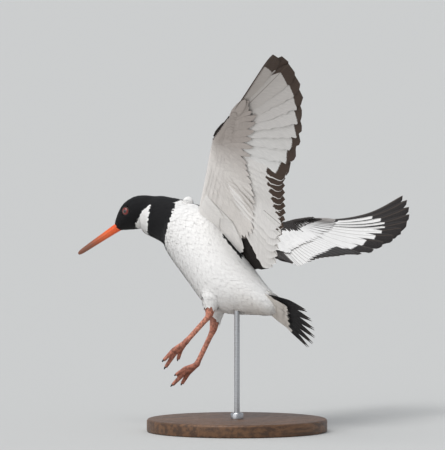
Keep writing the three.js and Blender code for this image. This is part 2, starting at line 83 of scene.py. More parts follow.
def smooth(low, high, x):
    """0 below low, 1 above high, eased between."""
    t = np.clip((np.asarray(x, float) - low) / (high - low), 0.0, 1.0)
    return t * t * (3.0 - 2.0 * t)


print("belly point at", to_display(BELLY_POINT).round(4))

# %% [markdown]
# The camera looks from the bird's left rear quarter, a little above the horizon, through a long
# lens from ten metres, which keeps the far wing its true size. Everything stands on a pale floor
# that runs far back, under one soft key light from above and an even pale sky.

# %% Camera, floor and light
CAMERA_AROUND = math.radians(133.48)
CAMERA_ABOVE = math.radians(3.0)
CAMERA_DISTANCE = 10.0
FRAME_HEIGHT = 0.558
CENTRE_RIGHT = -0.0180
CENTRE_UP = 0.1064
toward = Vector((math.sin(CAMERA_AROUND) * math.cos(CAMERA_ABOVE),
                 -math.cos(CAMERA_AROUND) * math.cos(CAMERA_ABOVE), math.sin(CAMERA_ABOVE)))
rightward = Vector((math.cos(CAMERA_AROUND), math.sin(CAMERA_AROUND), 0.0))
upward = toward.cross(rightward)
aim_point = Vector((0.0, 0.0, BELLY_HEIGHT / 1000.0)) + rightward * CENTRE_RIGHT + upward * CENTRE_UP
lens = bpy.data.cameras.new("camera")
lens.sensor_width = 36.0
lens.lens = 36.0 * CAMERA_DISTANCE / FRAME_HEIGHT
lens.clip_start = 0.1
lens.clip_end = 200.0
camera = bpy.data.objects.new("camera", lens)
camera.location = aim_point + toward * CAMERA_DISTANCE
camera.rotation_mode = "QUATERNION"
camera.rotation_quaternion = toward.to_track_quat("Z", "Y")
bpy.context.scene.collection.objects.link(camera)
bpy.context.scene.camera = camera
bpy.context.scene.view_settings.view_transform = "Standard"


def srgb(red, green, blue):
    """A screen colour, 0 to 255, as linear light."""
    def linear(value):
        value = value / 255.0
        return value / 12.92 if value <= 0.04045 else ((value + 0.055) / 1.055) ** 2.4
    return (linear(red), linear(green), linear(blue), 1.0)


def new_piece(name, shaper):
    """Object at the origin from a bmesh."""
    mesh = bpy.data.meshes.new(name)
    shaper.to_mesh(mesh)
    shaper.free()
    made = bpy.data.objects.new(name, mesh)
    bpy.context.scene.collection.objects.link(made)
    return made


def new_material(name, roughness):
    """Material with its shader and a helper-friendly node tree."""
    made = bpy.data.materials.new(name)
    made.use_nodes = True
    shader = made.node_tree.nodes["Principled BSDF"]
    shader.inputs["Roughness"].default_value = roughness
    return made, made.node_tree, shader


floor_shape = bmesh.new()
bmesh.ops.create_grid(floor_shape, x_segments=8, y_segments=8, size=60.0)
floor = new_piece("floor", floor_shape)
floor_finish, tree, shader = new_material("pale_floor", 0.9)
shader.inputs["Base Color"].default_value = srgb(186, 186, 184)
floor.data.materials.append(floor_finish)

world = bpy.data.worlds.new("studio")
world.use_nodes = True
world.node_tree.nodes["Background"].inputs["Color"].default_value = srgb(226, 230, 236)
world.node_tree.nodes["Background"].inputs["Strength"].default_value = 0.68
bpy.context.scene.world = world


def sun(name, direction, strength, spread):
    """Soft distant light that shines along a direction."""
    lamp = bpy.data.lights.new(name, "SUN")
    lamp.energy = strength
    lamp.angle = math.radians(spread)
    made = bpy.data.objects.new(name, lamp)
    made.rotation_mode = "QUATERNION"
    made.rotation_quaternion = Vector(direction).to_track_quat("-Z", "Y")
    bpy.context.scene.collection.objects.link(made)


sun("key_light", -(upward * 1.0 - rightward * 0.25 + toward * 0.34), 2.0, 40.0)
sun("fill_light", -(upward * 0.25 - rightward * 0.9 + toward * 0.9), 1.05, 70.0)
print("camera at", tuple(round(c, 3) for c in camera.location))

# %% [markdown]
# The wings, head and body follow the same measurements as the solids: a few rows of sizes with a
# smooth curve through them. The wing table gives, at any distance u along the arm (0 shoulder,
# 1 elbow, 2 wrist, 3 hand tip), which way a feather points and how long it is.

# %% Wing measurements
SHOULDER = (24.0, -52.0, 28.0)
HUMERUS, ULNA, HAND, REACH = 76.0, 80.0, 60.0, 124.0
PRIMARY_LENGTH = 188.0
LAST_NORMAL = 2.5
ARM_THICKNESS, HAND_THICKNESS = (17.0, 9.0), (9.0, 4.5)
ARM_BEHIND, HAND_BEHIND, LEADING_EDGE = 24.0, 15.0, (9.0, 2.0)
WINGS = {
    "left": {"side": 1, "arm": (3, 36), "hand": (31, 31), "bend": 0.06, "fingered": False, "keys": [
        (0.3, 122, -16, 80), (0.9, 122, -17, 95), (1.1, 114, -11, 95), (1.25, 110, -5, 96),
        (1.5, 111, 5, 97), (1.75, 103, 11, 100), (1.95, 96, 16, 106), (2.05, 89, 21, 116),
        (2.2, 74, 28, 132), (2.4, 58, 32, 154), (2.62, 45, 34, 175), (2.87, 33, 32, 187),
        (3.0, 29, 28, 188)]},
    "right": {"side": -1, "arm": (-2, 31), "hand": (-8, 30), "bend": 0.2, "fingered": True, "keys": [
        (0.3, 112, 4, 84), (0.9, 121, -4, 95), (1.1, 120, -5, 98), (1.25, 117, -2, 98),
        (1.5, 110, 4, 98), (1.75, 97, 11, 100), (1.95, 82, 17, 102), (2.05, 62, 21, 104),
        (2.2, 34, 27, 124), (2.4, 20, 32, 152), (2.62, 10, 35, 174), (2.87, -3, 36, 187),
        (3.0, -9, 35, 188)]},
}


def table(rows, place):
    """Smooth value of every column at a place in the first one."""
    last = len(rows) - 1
    k = 0
    while k < last - 1 and place > rows[k + 1][0]:
        k += 1
    a, b, c, d = (np.array(rows[i], float) for i in (max(k - 1, 0), k, k + 1, min(k + 2, last)))
    t = (place - b[0]) / (c[0] - b[0])
    before = (c - a) / (c[0] - a[0]) * (c[0] - b[0])
    after = (d - b) / (d[0] - b[0]) * (c[0] - b[0])
    return ((2 * t**3 - 3 * t**2 + 1) * b + (t**3 - 2 * t**2 + t) * before
            + (3 * t**2 - 2 * t**3) * c + (t**3 - t**2) * after)


def aim(side, sweep, rise):
    """Direction out from the body, from sweep back and rise in degrees."""
    sweep, rise = math.radians(sweep), math.radians(rise)
    return np.array([side * math.cos(sweep) * math.cos(rise), math.sin(sweep) * math.cos(rise),
                     math.sin(rise)])


class Wing:
    """Lookup of bone place, feather direction, length and upward normal along one wing."""

    STEPS = np.linspace(0.0, 3.06, 307)

    def __init__(self, side, arm, hand, bend, fingered, keys):
        self.side, self.bend, self.fingered = side, bend, fingered
        shoulder = np.array(SHOULDER) * (side, 1, 1)
        out = aim(side, *arm)
        wrist = shoulder + out * REACH
        tip = wrist + aim(side, *hand) * HAND
        rows = [table(keys, min(max(u, 0.3), 3.0)) for u in self.STEPS]
        self.directions = np.array([aim(side, row[1], row[2]) for row in rows])
        self.lengths = np.array([row[3] for row in rows])
        back = aim(side, *table(keys, 1.0)[1:3])
        back = unit(back - out * (back @ out))
        along = (HUMERUS**2 - ULNA**2 + REACH**2) / (2 * REACH)
        elbow = shoulder + out * along + back * math.sqrt(HUMERUS**2 - along**2)
        joints = np.array([shoulder, elbow, wrist, tip])
        step = np.clip(np.floor(self.STEPS).astype(int), 0, 2)
        part = (self.STEPS - step)[:, None]
        self.bones = joints[step] + (joints[step + 1] - joints[step]) * part
        ahead = np.array([self.pick(self.bones, min(u + 0.5, 3.0)) for u in self.STEPS])
        behind = np.array([self.pick(self.bones, max(u - 0.5, 0.0)) for u in self.STEPS])
        self.normals = unit(np.cross(ahead - behind, self.directions)) * side
        self.normals[self.STEPS > LAST_NORMAL] = self.pick(self.normals, LAST_NORMAL)
        fraction = np.clip(self.STEPS / 2, 0, 1)[:, None]
        on_hand = self.STEPS > 2
        lead = unit(self.directions - out * (self.directions @ out)[:, None])
        front = mix(shoulder, wrist, fraction) - lead * mix(*LEADING_EDGE, fraction)
        palm = unit(tip - wrist)
        hand_normal = self.pick(self.normals, 2.5)
        ahead_of_hand = np.cross(hand_normal, palm) * side
        past = np.clip(self.STEPS - 2, 0, 1)[:, None]
        self.fronts = np.where(on_hand[:, None], self.bones - ahead_of_hand * (2.5 + past / 2), front)
        self.depths = np.where(on_hand, mix(HAND_BEHIND, 6.0, past[:, 0]), ARM_BEHIND)
        self.rears = self.bones + self.directions * self.depths[:, None]
        self.thick = np.where(on_hand, mix(*HAND_THICKNESS, past[:, 0]), mix(*ARM_THICKNESS, fraction[:, 0]))
        self.chords = np.linalg.norm(self.rears - self.fronts, axis=1)
        self.palm, self.forward = palm, -ahead_of_hand

    def pick(self, values, u):
        """Value of a stored row at one or many places along the wing."""
        spot = np.clip(np.asarray(u, float), 0.0, self.STEPS[-1]) * 100.0
        low = np.minimum(spot.astype(int), len(self.STEPS) - 2)
        part = spot - low
        if values.ndim > 1:
            part = part[..., None]
        return values[low] * (1 - part) + values[low + 1] * part

    def surface(self, u, back, face):
        """Point on the upper (1) or under (-1) face, some millimetres back from the leading edge."""
        chord = self.pick(self.chords, u)
        front, rear = self.pick(self.fronts, u), self.pick(self.rears, u)
        share = np.clip(back / chord, 0, 1)
        normal = self.pick(self.normals, u)
        heights = np.interp(share, [0, 0.1, 0.3, 0.6, 0.85, 1], [0, 0.62, 1, 0.78, 0.42, 0.12])
        height = np.maximum(heights * self.pick(self.thick, u) * (0.6 if face > 0 else 0.4), 1.3 * share)
        length = self.pick(self.lengths, u)
        beyond = np.maximum(back - chord, 0.0)
        v = np.clip((self.pick(self.depths, u) + beyond) / length, 0, 1)
        bend = self.bend * length**3 / PRIMARY_LENGTH**2 * (v**3 - v) * share**2
        flat = front + (rear - front) * share[..., None]
        return (flat + self.pick(self.directions, u) * beyond[..., None]
                + normal * (face * height + bend)[..., None])


wings = {name: Wing(**sizes) for name, sizes in WINGS.items()}
print("left wrist at", wings["left"].pick(wings["left"].bones, 2.0).round(1))

# %% [markdown]
# Every feather on this bird, from a bristle by the bill to the longest primary, is one closed thin
# vane: a grid of points along a spine, raised at the shaft and sharp at the rim. The upper and the
# under face share the rim's points, which closes the vane. Modelling them one by one would take
# weeks, so the points and faces of all feathers of a piece are worked out at once, in arrays.

# %% Shape of a vane
def vane_faces(stations, columns):
    """Quads of one vane, the same quads counted on its grid, and 0 or 1 for upper or under face."""
    top = np.arange(stations * columns).reshape(stations, columns)
    under = top.copy()
    inner = np.arange((stations - 2) * (columns - 2)).reshape(stations - 2, columns - 2)
    under[1:-1, 1:-1] = stations * columns + inner

    def quads(grid):
        return np.stack([grid[:-1, :-1], grid[:-1, 1:], grid[1:, 1:], grid[1:, :-1]], -1).reshape(-1, 4)

    faces = np.concatenate([quads(top), quads(under)[:, ::-1]])
    on_grid = np.concatenate([quads(top), quads(top)[:, ::-1]])
    return faces, on_grid, np.repeat([0, 1], len(faces) // 2)


def vane_points(spine, across, lift, offset, thick, camber):
    """All points of each vane: its upper face, then its under face inside the rim."""
    count, _, columns = offset.shape
    steps = np.linspace(-1.0, 1.0, columns)
    arch = camber[..., None] * (1 - steps**2)
    tops = (spine[:, :, None] + across[:, :, None] * offset[..., None]
            + lift[:, :, None] * (arch + thick[..., None] / 2 * (1 - steps**4))[..., None])
    under = (tops[:, 1:-1, 1:-1] - lift[:, 1:-1, None]
             * (thick[:, 1:-1, None] * (1 - steps[1:-1] ** 4))[..., None])
    return np.concatenate([tops.reshape(count, -1, 3), under.reshape(count, -1, 3)], axis=1)


def quad_mesh(name, points, faces):
    """Smooth mesh of many like shapes, from each one's body points and the faces they share."""
    count, each = points.shape[:2]
    corners = (faces[None] + (np.arange(count) * each)[:, None, None]).reshape(-1)
    mesh = bpy.data.meshes.new(name)
    mesh.vertices.add(count * each)
    mesh.vertices.foreach_set("co", to_display(points.reshape(-1, 3)).astype(np.float32).ravel())
    mesh.loops.add(len(corners))
    mesh.loops.foreach_set("vertex_index", corners.astype(np.int32))
    mesh.polygons.add(len(corners) // 4)
    mesh.polygons.foreach_set("loop_start", np.arange(0, len(corners), 4, dtype=np.int32))
    mesh.polygons.foreach_set("use_smooth", np.ones(len(corners) // 4, bool))
    mesh.update(calc_edges=True)
    mesh.validate()
    return mesh


print("quads in a vane of 5 by 3:", len(vane_faces(5, 3)[0]))

# %% [markdown]
# Each corner of a vane also keeps what its finish needs: a pale and a deep colour, and three
# numbers in millimetres, which are the distance across, along, and into the dark marking. The
# OFBake map puts each vane on a small patch of a chart, and large ones get a patch for each face.

# %% Lay many vanes
def lay_vanes(name, spine, across, lift, left, right, thick, camber, pale, deep, dark, places, patch,
              under_shift=0.0):
    """Joined closed vanes. spine, across, lift: feathers x stations x 3; left, right: half widths;
    dark: one value a feather, or feathers x upper and under face x stations x columns."""
    count, stations = spine.shape[:2]
    columns = dark.shape[-1] if dark.ndim > 1 else 3
    steps = np.linspace(-1.0, 1.0, columns)
    offset = np.where(steps < 0, steps * left[..., None], steps * right[..., None])
    faces, on_grid, side = vane_faces(stations, columns)
    mesh = quad_mesh(name, vane_points(spine, across, lift, offset, thick, camber), faces)
    row, column = np.divmod(on_grid, columns)
    step_lengths = np.linalg.norm(np.diff(spine, axis=1), axis=2)
    along = np.concatenate([np.zeros((count, 1)), np.cumsum(step_lengths, axis=1)], axis=1)
    web = np.ones((count, len(faces), 4, 4), np.float32)
    web[..., 0] = offset[:, row, column]
    web[..., 1] = along[:, row]
    web[..., 2] = dark[:, side[:, None], row, column] if dark.ndim > 1 else dark[:, None, None]
    for label, values in (("pale", pale), ("deep", deep)):
        layer = mesh.color_attributes.new(label, "FLOAT_COLOR", "CORNER")
        both = np.ones((count, len(faces), 4, 4), np.float32)
        both[..., :3] = values[:, side][:, :, None]
        layer.data.foreach_set("color", both.ravel())
    layer = mesh.color_attributes.new("web", "FLOAT_COLOR", "CORNER")
    layer.data.foreach_set("color", web.ravel())
    flat = mesh.uv_layers.new(name="OFBake")
    spot = np.stack([column / (columns - 1), row / (stations - 1)], -1)[None] - 0.5
    spot = spot * patch[:, None, None] + places[:, None, None]
    spot = spot + side[None, :, None, None] * np.array([0.0, under_shift])
    flat.data.foreach_set("uv", spot.astype(np.float32).ravel())
    mesh.set_sharp_from_angle(angle=math.radians(60))
    made = bpy.data.objects.new(name, mesh)
    bpy.context.scene.collection.objects.link(made)
    print(name, count, "feathers,", len(faces) * 2 * count, "triangles")
    return made


print("numbers kept at a corner: 3")

# %% [markdown]
# Oystercatchers are black above and white below, with a white half collar in winter. The marking is
# one function of the place on the body, so the skin and the feathers over it always agree. The hood
# ends on a slanting line across the breast, and the mantle is a black saddle with a white wedge
# running up the lower back from the rump.

# %% Markings
BLACK, WHITE = np.array(srgb(15, 14, 16)[:3]), np.array(srgb(236, 234, 231)[:3])
# Warm grey of painted shade on white plumage, where shade lies under the rear belly, vent and tail.
SHADED = np.array(srgb(214, 206, 196)[:3])
LEG_PINK, LEG_JOINT = np.array(srgb(204, 134, 110)[:3]), np.array(srgb(140, 78, 62)[:3])
HOOD_EDGE = [(-44, -71), (-35, -71), (-26, -71), (-18, -74), (-8, -78), (4, -87), (15, -99), (24, -103)]
COLLAR = [(-126, -7), (-122.5, -10), (-116, -17), (-113, -24), (-110, -33), (-107, -48),
          (-135, -52), (-132.5, -38), (-130.5, -30), (-129.5, -22), (-128.5, -13)]


def inside(polygon, x, y):
    """True where a point lies in a polygon."""
    found = np.zeros(len(x), bool)
    for (ax, ay), (bx, by) in zip(polygon, polygon[1:] + polygon[:1]):
        crosses = (ay > y) != (by > y)
        found ^= crosses & (x < (bx - ax) * (y - ay) / ((by - ay) or 1e-9) + ax)
    return found


def is_black(points):
    """Black plumage at body places."""
    x, y, z = points.T
    edge = np.interp(z, [p[0] for p in HOOD_EDGE], [p[1] for p in HOOD_EDGE])
    hood = (y < edge) & ~inside(COLLAR, y, z)
    saddle_half = np.interp(y, [-104, -90, -60, -30, 0, 45], [9, 12, 20, 25, 24, 14])
    saddle = (z > 2) & (np.abs(x) < saddle_half) & (y > -106) & (y < 4 + 1.5 * np.abs(x))
    return hood | saddle


def body_tone(points):
    """Colour of the plumage at body places, with painted shade on the white towards the rear underside."""
    tone = np.where(is_black(points)[:, None], BLACK, WHITE)
    # Painted shade: the white darkens towards this warm grey at the rear of the belly and underneath.
    vent_shade = smooth(40, 110, points[:, 1]) * smooth(0, -18, points[:, 2])
    return np.where(is_black(points)[:, None], tone, mix(tone, SHADED, 0.6 * vent_shade[:, None]))


print("hood edge rows:", len(HOOD_EDGE))

# %% [markdown]
# Under the feathers lies one skin. It could be modelled again by hand, but the solids of flesh hold
# the shape already, so copies of them are grown a hair to touch, joined and remeshed into a single
# closed surface with no seam. It then sinks by the depth of the coat at each place: nothing on the
# bare legs, little on the face, more on the breast.

# %% One skin from the solids of flesh
FLESH = ["trunk", "neck", "head"]
FLESH += [f"wing_{side}_{part}" for side in ("left", "right") for part in ("arm", "hand")]
FLESH += [f"leg_{side}_{part}" for side in ("left", "right")
          for part in ("thigh", "tarsus", "toe_inner", "toe_middle", "toe_outer")]
COAT_DEPTH = {"head": 1.3, "neck": 2.0, "trunk": 2.6, "arm": 1.6, "hand": 1.2, "thigh": 1.2}
VOXEL = 0.00122
GROWN_BY, SAME_PLACE = 0.0003, 1e-6

joined, faces_of = bmesh.new(), []
for name in FLESH:
    solid = bmesh.new()
    solid.from_mesh(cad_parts[name].data)
    bmesh.ops.remove_doubles(solid, verts=solid.verts, dist=SAME_PLACE)
    bmesh.ops.recalc_face_normals(solid, faces=solid.faces)
    solid.normal_update()
    grown = [(v, v.co + v.normal * GROWN_BY) for v in solid.verts]
    for v, place in grown:
        v.co = place
    copy = bpy.data.meshes.new("copy")
    solid.to_mesh(copy)
    faces_of += [name.split("_")[-1] if name.startswith("wing") else
                 ("thigh" if "thigh" in name else name.split("_")[0])] * len(solid.faces)
    solid.free()
    joined.from_mesh(copy)
    bpy.data.meshes.remove(copy)
source = BVHTree.FromBMesh(joined)
skin = new_piece("skin", joined)
remesh = skin.modifiers.new("one_surface", "REMESH")
remesh.mode = "VOXEL"
remesh.voxel_size = VOXEL
surface = bpy.data.meshes.new_from_object(skin.evaluated_get(bpy.context.evaluated_depsgraph_get()))
skin.modifiers.clear()
skin.data = surface
print("joined surface:", len(surface.polygons), "faces")

# %% [markdown]
# The skin must know which solid each place came from, so that the legs stay bare and the coat can
# be thinner on the face than on the breast. The nearest face of the joined solids tells that. The
# lower part of a wader's thigh has no feathers, so it counts as leg.

# %% Which part is where
THIGHS = [(np.array([17.0, 34, -40]), np.array([14.0, 50, -61])),
          (np.array([-15.0, 24, -38]), np.array([-14.0, 50, -70]))]
THIGH_BARE = 0.34


def part_at(point):
    """Which part of the flesh a display place belongs to; the lower thigh counts as bare leg."""
    part = faces_of[source.find_nearest(Vector(point))[2]]
    if part == "thigh":
        place = to_body(point)
        hip, ankle = THIGHS[0 if place[0] > 0 else 1]
        if (place - hip) @ (ankle - hip) > THIGH_BARE * (ankle - hip) @ (ankle - hip):
            return "leg"
    return part


shape = bmesh.new()
shape.from_mesh(surface)
part_of = [part_at(v.co) for v in shape.verts]
print("places on bare legs:", part_of.count("leg"))

# %% [markdown]
# Remeshing leaves small steps, and the flat facets of the solids would still show through a thin
# coat. Rounds of smoothing take both away: many on trunk and neck, one on the bare legs. Then each
# place sinks by the depth of the coat, which is eased from part to part so that no ledge forms.

# %% Smooth the skin and sink it
CLOTHED_SMOOTHING, TRUNK_SMOOTHING, DEPTH_SMOOTHING = 8, 50, 10


def ease(verts, rounds, factor):
    """Smooth some places of the skin a number of times."""
    for _ in range(rounds):
        bmesh.ops.smooth_vert(shape, verts=verts, factor=factor, use_axis_x=True, use_axis_y=True,
                              use_axis_z=True)


ease([v for v, part in zip(shape.verts, part_of) if part != "leg"], CLOTHED_SMOOTHING, 0.5)
ease([v for v, part in zip(shape.verts, part_of) if part == "leg"], 1, 0.35)
ease([v for v, part in zip(shape.verts, part_of) if part in ("trunk", "neck")], TRUNK_SMOOTHING, 0.5)
shape.normal_update()
depth = np.array([COAT_DEPTH.get(part, 0.0) for part in part_of])
pairs = np.array([[v.index for v in edge.verts] for edge in shape.edges])
for _ in range(DEPTH_SMOOTHING):
    total, number = depth.copy(), np.ones(len(depth))
    np.add.at(total, pairs[:, 0], depth[pairs[:, 1]])
    np.add.at(total, pairs[:, 1], depth[pairs[:, 0]])
    np.add.at(number, pairs.ravel(), 1)
    depth = total / number
for v, part, down in zip(shape.verts, part_of, depth):
    v.co -= v.normal * (down / 1000.0 if part != "leg" else 0.0)
shape.normal_update()
skin_tree = BVHTree.FromBMesh(shape)
skin_points = to_body([v.co for v in shape.verts])
face_points = to_body([f.calc_center_median() for f in shape.faces])
face_normals = np.array([f.normal for f in shape.faces]) @ TURN
corner_of_face = [f.verts[0].index for f in shape.faces]
face_parts = np.array([part_of[i] for i in corner_of_face])
face_depths = depth[corner_of_face]
shape.to_mesh(surface)
shape.free()
surface.polygons.foreach_set("use_smooth", np.ones(len(surface.polygons), bool))
print("skin:", len(surface.polygons) * 2, "triangles")

# %% [markdown]
# The skin carries the same markings as its coat, stored as a colour on each vertex, and the bare
# legs turn pinkish orange, browner at the joints. A second attribute holds how far down the leg a
# place is, so the finish can draw the scutes across the shank and toes.

# %% Colour the skin
LEG_POINTS = {
    "left": [(14, 50, -61), (22, 56, -105), (8, 57, -129), (19, 58, -148), (29, 55, -143)],
    "right": [(-14, 50, -70), (-20, 63, -116), (-12, 55, -145), (-18, 58, -158), (-30, 60, -148)],
}
on_leg = np.array([part == "leg" for part in part_of])
on_wing = np.array([part in ("arm", "hand") for part in part_of])
tones = body_tone(skin_points)
tones[on_wing] = mix(WHITE, BLACK, 0.12)
scutes = np.zeros((len(skin_points), 3))
near_joint = np.zeros(len(skin_points))
for points in LEG_POINTS.values():
    ankle, joint = np.array(points[0], float), np.array(points[1], float)
    for start, end in [(ankle, joint)] + [(joint, np.array(tip, float)) for tip in points[2:]]:
        line = unit(end - start)
        along = (skin_points - start) @ line
        off = np.linalg.norm(skin_points - start - along[:, None] * line, axis=1)
        close = (along > -3) & (along < np.linalg.norm(end - start) + 3) & (off < 6.5)
        scutes[close, 0] = along[close]
    for place, reach in ((ankle, 7.0), (joint, 8.0)):
        near_joint = np.maximum(near_joint, 1 - np.linalg.norm(skin_points - place, axis=1) / reach)
near_joint = smooth(0, 1, near_joint)[:, None]
on_toes = smooth(-100, -125, skin_points[:, 2])[:, None]
tones[on_leg] = mix(LEG_PINK, LEG_JOINT, np.maximum(near_joint, 0.4 * on_toes)[on_leg])
layer = surface.color_attributes.new("tone", "FLOAT_COLOR", "POINT")
layer.data.foreach_set("color", np.column_stack([tones, np.ones(len(tones))]).astype(np.float32).ravel())
scutes[:, 1] = on_leg
layer = surface.color_attributes.new("scute", "FLOAT_COLOR", "POINT")
layer.data.foreach_set("color", np.column_stack([scutes, np.ones(len(tones))]).astype(np.float32).ravel())
print("bare leg places:", int(on_leg.sum()))

# %% [markdown]
# Feathers need a lie. From the bill the coat flows back over the head, down the neck and along the
# body to the tail, and down the thighs. A line through the body gives that flow: at any place, the
# nearer stretches of the line count most. The head has a frame of its own, from which the eyes
# are placed, because feathers stay clear of them.

# %% Lie of the coat
HEAD_CENTRE = np.array([-2.5, -144.5, -24.5])
BILL_AIM = unit([-0.223, -0.425, -0.877])
HEAD_LEFT = unit(np.cross([0.322, -0.891, 0.314], BILL_AIM))
HEAD_UP = unit(np.cross(BILL_AIM, HEAD_LEFT))
EYE_RADIUS, EYE_AHEAD, EYE_ABOVE, EYE_ASIDE = 5.2, 6.8, 7.3, 12.3


def on_head(left, ahead, above):
    return HEAD_CENTRE + HEAD_LEFT * left + BILL_AIM * ahead + HEAD_UP * above


EYES = {"left": on_head(EYE_ASIDE, EYE_AHEAD, EYE_ABOVE), "right": on_head(-EYE_ASIDE, EYE_AHEAD, EYE_ABOVE)}
FLOW_LINE = np.array([on_head(0, 36, 0), on_head(0, 18, 0), on_head(0, 0, 0),
                      (-3, -130, -14), (-1, -112, -6), (0, -92, 0), (0, -70, 0), (0, -30, -4),
                      (0, 10, -8), (0, 50, -10), (0, 90, -2), (0, 130, 4)])


def head_place(points):
    """Body places as left, ahead and above in the head's own frame."""
    off = points - HEAD_CENTRE
    return np.stack([off @ HEAD_LEFT, off @ BILL_AIM, off @ HEAD_UP], -1)


def flow(points):
    """Direction the coat lies at body places, not yet laid on the surface."""
    middles = (FLOW_LINE[1:] + FLOW_LINE[:-1]) / 2
    lines = unit(FLOW_LINE[1:] - FLOW_LINE[:-1])
    gaps = np.linalg.norm(points[:, None] - middles, axis=2)
    weights = 1.0 / (gaps**4 + 1.0)
    lie = unit((weights[..., None] * lines).sum(1))
    for hip, ankle in THIGHS:
        close = smooth(20, 8, np.linalg.norm(points - (hip * 0.35 + ankle * 0.65), axis=1))
        lie = mix(lie, unit(ankle - hip), close[:, None])
    return unit(lie)


print("flow at breast:", flow(np.array([[20.0, -60.0, -30.0]])).round(2))

# %% [markdown]
# Real feathers grow evenly but not in a grid. Places are taken in random order, and each is kept
# only where none lies closer than the gap wanted there. A coarse grid of cells keeps that search
# short, as only neighbouring cells are looked through.

# %% Even random places
def thin(points, gaps, seed):
    """Random places kept only where no earlier one lies within its gap."""
    order = np.random.default_rng(seed).permutation(len(points))
    cell = float(gaps.max())
    cells, kept = {}, []
    keys = np.floor(points / cell).astype(int)
    near = [(a, b, c) for a in (-1, 0, 1) for b in (-1, 0, 1) for c in (-1, 0, 1)]
    for i in order:
        p, gap, key = points[i], gaps[i] ** 2, keys[i]
        taken = False
        for a, b, c in near:
            for q in cells.get((key[0] + a, key[1] + b, key[2] + c), ()):
                if (q[0] - p[0]) ** 2 + (q[1] - p[1]) ** 2 + (q[2] - p[2]) ** 2 < gap:
                    taken = True
                    break
            if taken:
                break
        if not taken:
            cells.setdefault(tuple(key), []).append(p)
            kept.append(i)
    return np.array(kept)


print("spread ready")

# %% [markdown]
# Body feathers are small round-ended vanes. Each starts on the skin, steps along it in the
# direction of the coat, and rises by the coat's depth towards its tip, so it hugs the body and
# overlaps the next. Sizes grow from under four millimetres at the bill to over twenty at the rump.

# %% Body feathers
rng = np.random.default_rng(7)
STATIONS = 5
SIZE_STOPS = [4, 16, 34, 50, 72, 100, 150, 190, 230]
LENGTHS = [2.6, 4.0, 6.0, 9.0, 14.0, 19.0, 22.0, 23.0, 24.0]
GAPS = [0.85, 1.1, 1.4, 1.7, 2.0, 2.25, 2.4, 2.5, 2.8]
BODY_VANE = np.array([0.45, 0.9, 1.0, 0.85, 0.2])
NO_MARK = -9.0
PATCH = 0.003


def sizes_at(points):
    """Length and gap of body feathers at body places."""
    ahead = head_place(points)[:, 1]
    from_bill = 34.0 - ahead
    length = np.interp(from_bill, SIZE_STOPS, LENGTHS)
    gap = np.interp(from_bill, SIZE_STOPS, GAPS)
    for hip, ankle in THIGHS:
        close = smooth(26, 14, np.linalg.norm(points - ankle, axis=1))
        length, gap = mix(length, 4.6, close), mix(gap, 1.6, close)
    return length, gap


def walk(roots, directions, lengths, stations):
    """Spines that follow the skin from their roots, with the normals along them."""
    spine, lift = [roots], []
    place, heading = roots, directions
    for k in range(stations):
        hits = [skin_tree.find_nearest(Vector(p)) for p in to_display(place)]
        found = to_body([h[0] for h in hits])
        normal = np.array([h[1] for h in hits]) @ TURN
        lift.append(normal)
        spine[-1] = found
        heading = unit(heading - normal * (heading * normal).sum(1, keepdims=True))
        place = found + heading * (lengths / (stations - 1))[:, None]
        spine.append(place)
    spine, lift = np.stack(spine[:stations], 1), np.stack(lift, 1)
    eased = (lift[:, :-2] + lift[:, 1:-1] + lift[:, 2:]) if stations > 2 else lift
    lift[:, 1:-1] = unit(eased)
    return spine, unit(lift)


def body_feathers(name, chosen, place_on_chart, seed):
    """A piece of body feathers on the chosen faces of the skin."""
    points, normals, depths = face_points[chosen], face_normals[chosen], face_depths[chosen]
    repeat = 3 if name == "feathers_head" else 1
    points = np.repeat(points, repeat, 0) + rng.normal(0, 0.3, (len(points) * repeat, 3))
    normals, depths = np.repeat(normals, repeat, 0), np.repeat(depths, repeat)
    lengths, gaps = sizes_at(points)
    kept = thin(points, gaps, seed)
    points, normals, depths, lengths, gaps = (a[kept] for a in (points, normals, depths, lengths, gaps))
    clear = np.ones(len(points), bool)
    for centre in EYES.values():
        clear &= np.linalg.norm(points - centre, axis=1) > EYE_RADIUS + 0.6
    points, normals, depths, lengths, gaps = (a[clear] for a in (points, normals, depths, lengths, gaps))
    lie = flow(points)
    lie = unit(lie - normals * (lie * normals).sum(1, keepdims=True))
    sideways = np.cross(lie, normals)
    lie = unit(lie + sideways * rng.normal(0, 0.10, (len(points), 1)))
    ends = points + lie * lengths[:, None]
    for centre in EYES.values():
        near = np.linalg.norm(ends - centre, axis=1) < EYE_RADIUS + 0.8
        lengths = np.where(near, lengths * 0.45, lengths)
    lengths = lengths * rng.uniform(0.85, 1.12, len(points))
    spine, lift = walk(points, lie, lengths, STATIONS)
    along = unit(np.gradient(spine, axis=1))
    across = unit(np.cross(along, lift))
    t = np.linspace(0, 1, STATIONS)
    tip_height = depths * rng.uniform(0.985, 1.015, len(points))
    rise = 0.15 + (tip_height - 0.15)[:, None] * t**0.6
    spine = spine + lift * rise[..., None]
    half = (gaps * 1.15)[:, None] * BODY_VANE
    seen = spine[:, 3]
    tone = body_tone(seen) * rng.uniform(0.975, 1.01, (len(points), 1))
    tones = np.stack([tone, tone], 1)
    ones = np.ones((len(points), STATIONS))
    return lay_vanes(name, spine, across, lift, half, half, ones * 0.08, ones * (gaps * 0.02)[:, None],
                     tones, tones, np.full(len(points), NO_MARK), place_on_chart(points),
                     np.full((len(points), 2), PATCH))


print("longest body feather mm:", LENGTHS[-1])

# %% [markdown]
# When the colours are baked, each feather takes them from a small patch of a flat chart, at the
# spot where its root would be on the unwrapped skin. Trunk and head are each unrolled like a label
# from a bottle: the angle round it, then the distance along it. Then the four body pieces are laid.

# %% Charts and the body pieces
def round_chart(points):
    """Unwrap round the body: angle, then distance back."""
    return np.stack([0.5 + np.arctan2(points[:, 0], points[:, 2] + 8.0) / (2 * math.pi) * 0.98,
                     (points[:, 1] + 170.0) / 300.0], -1)


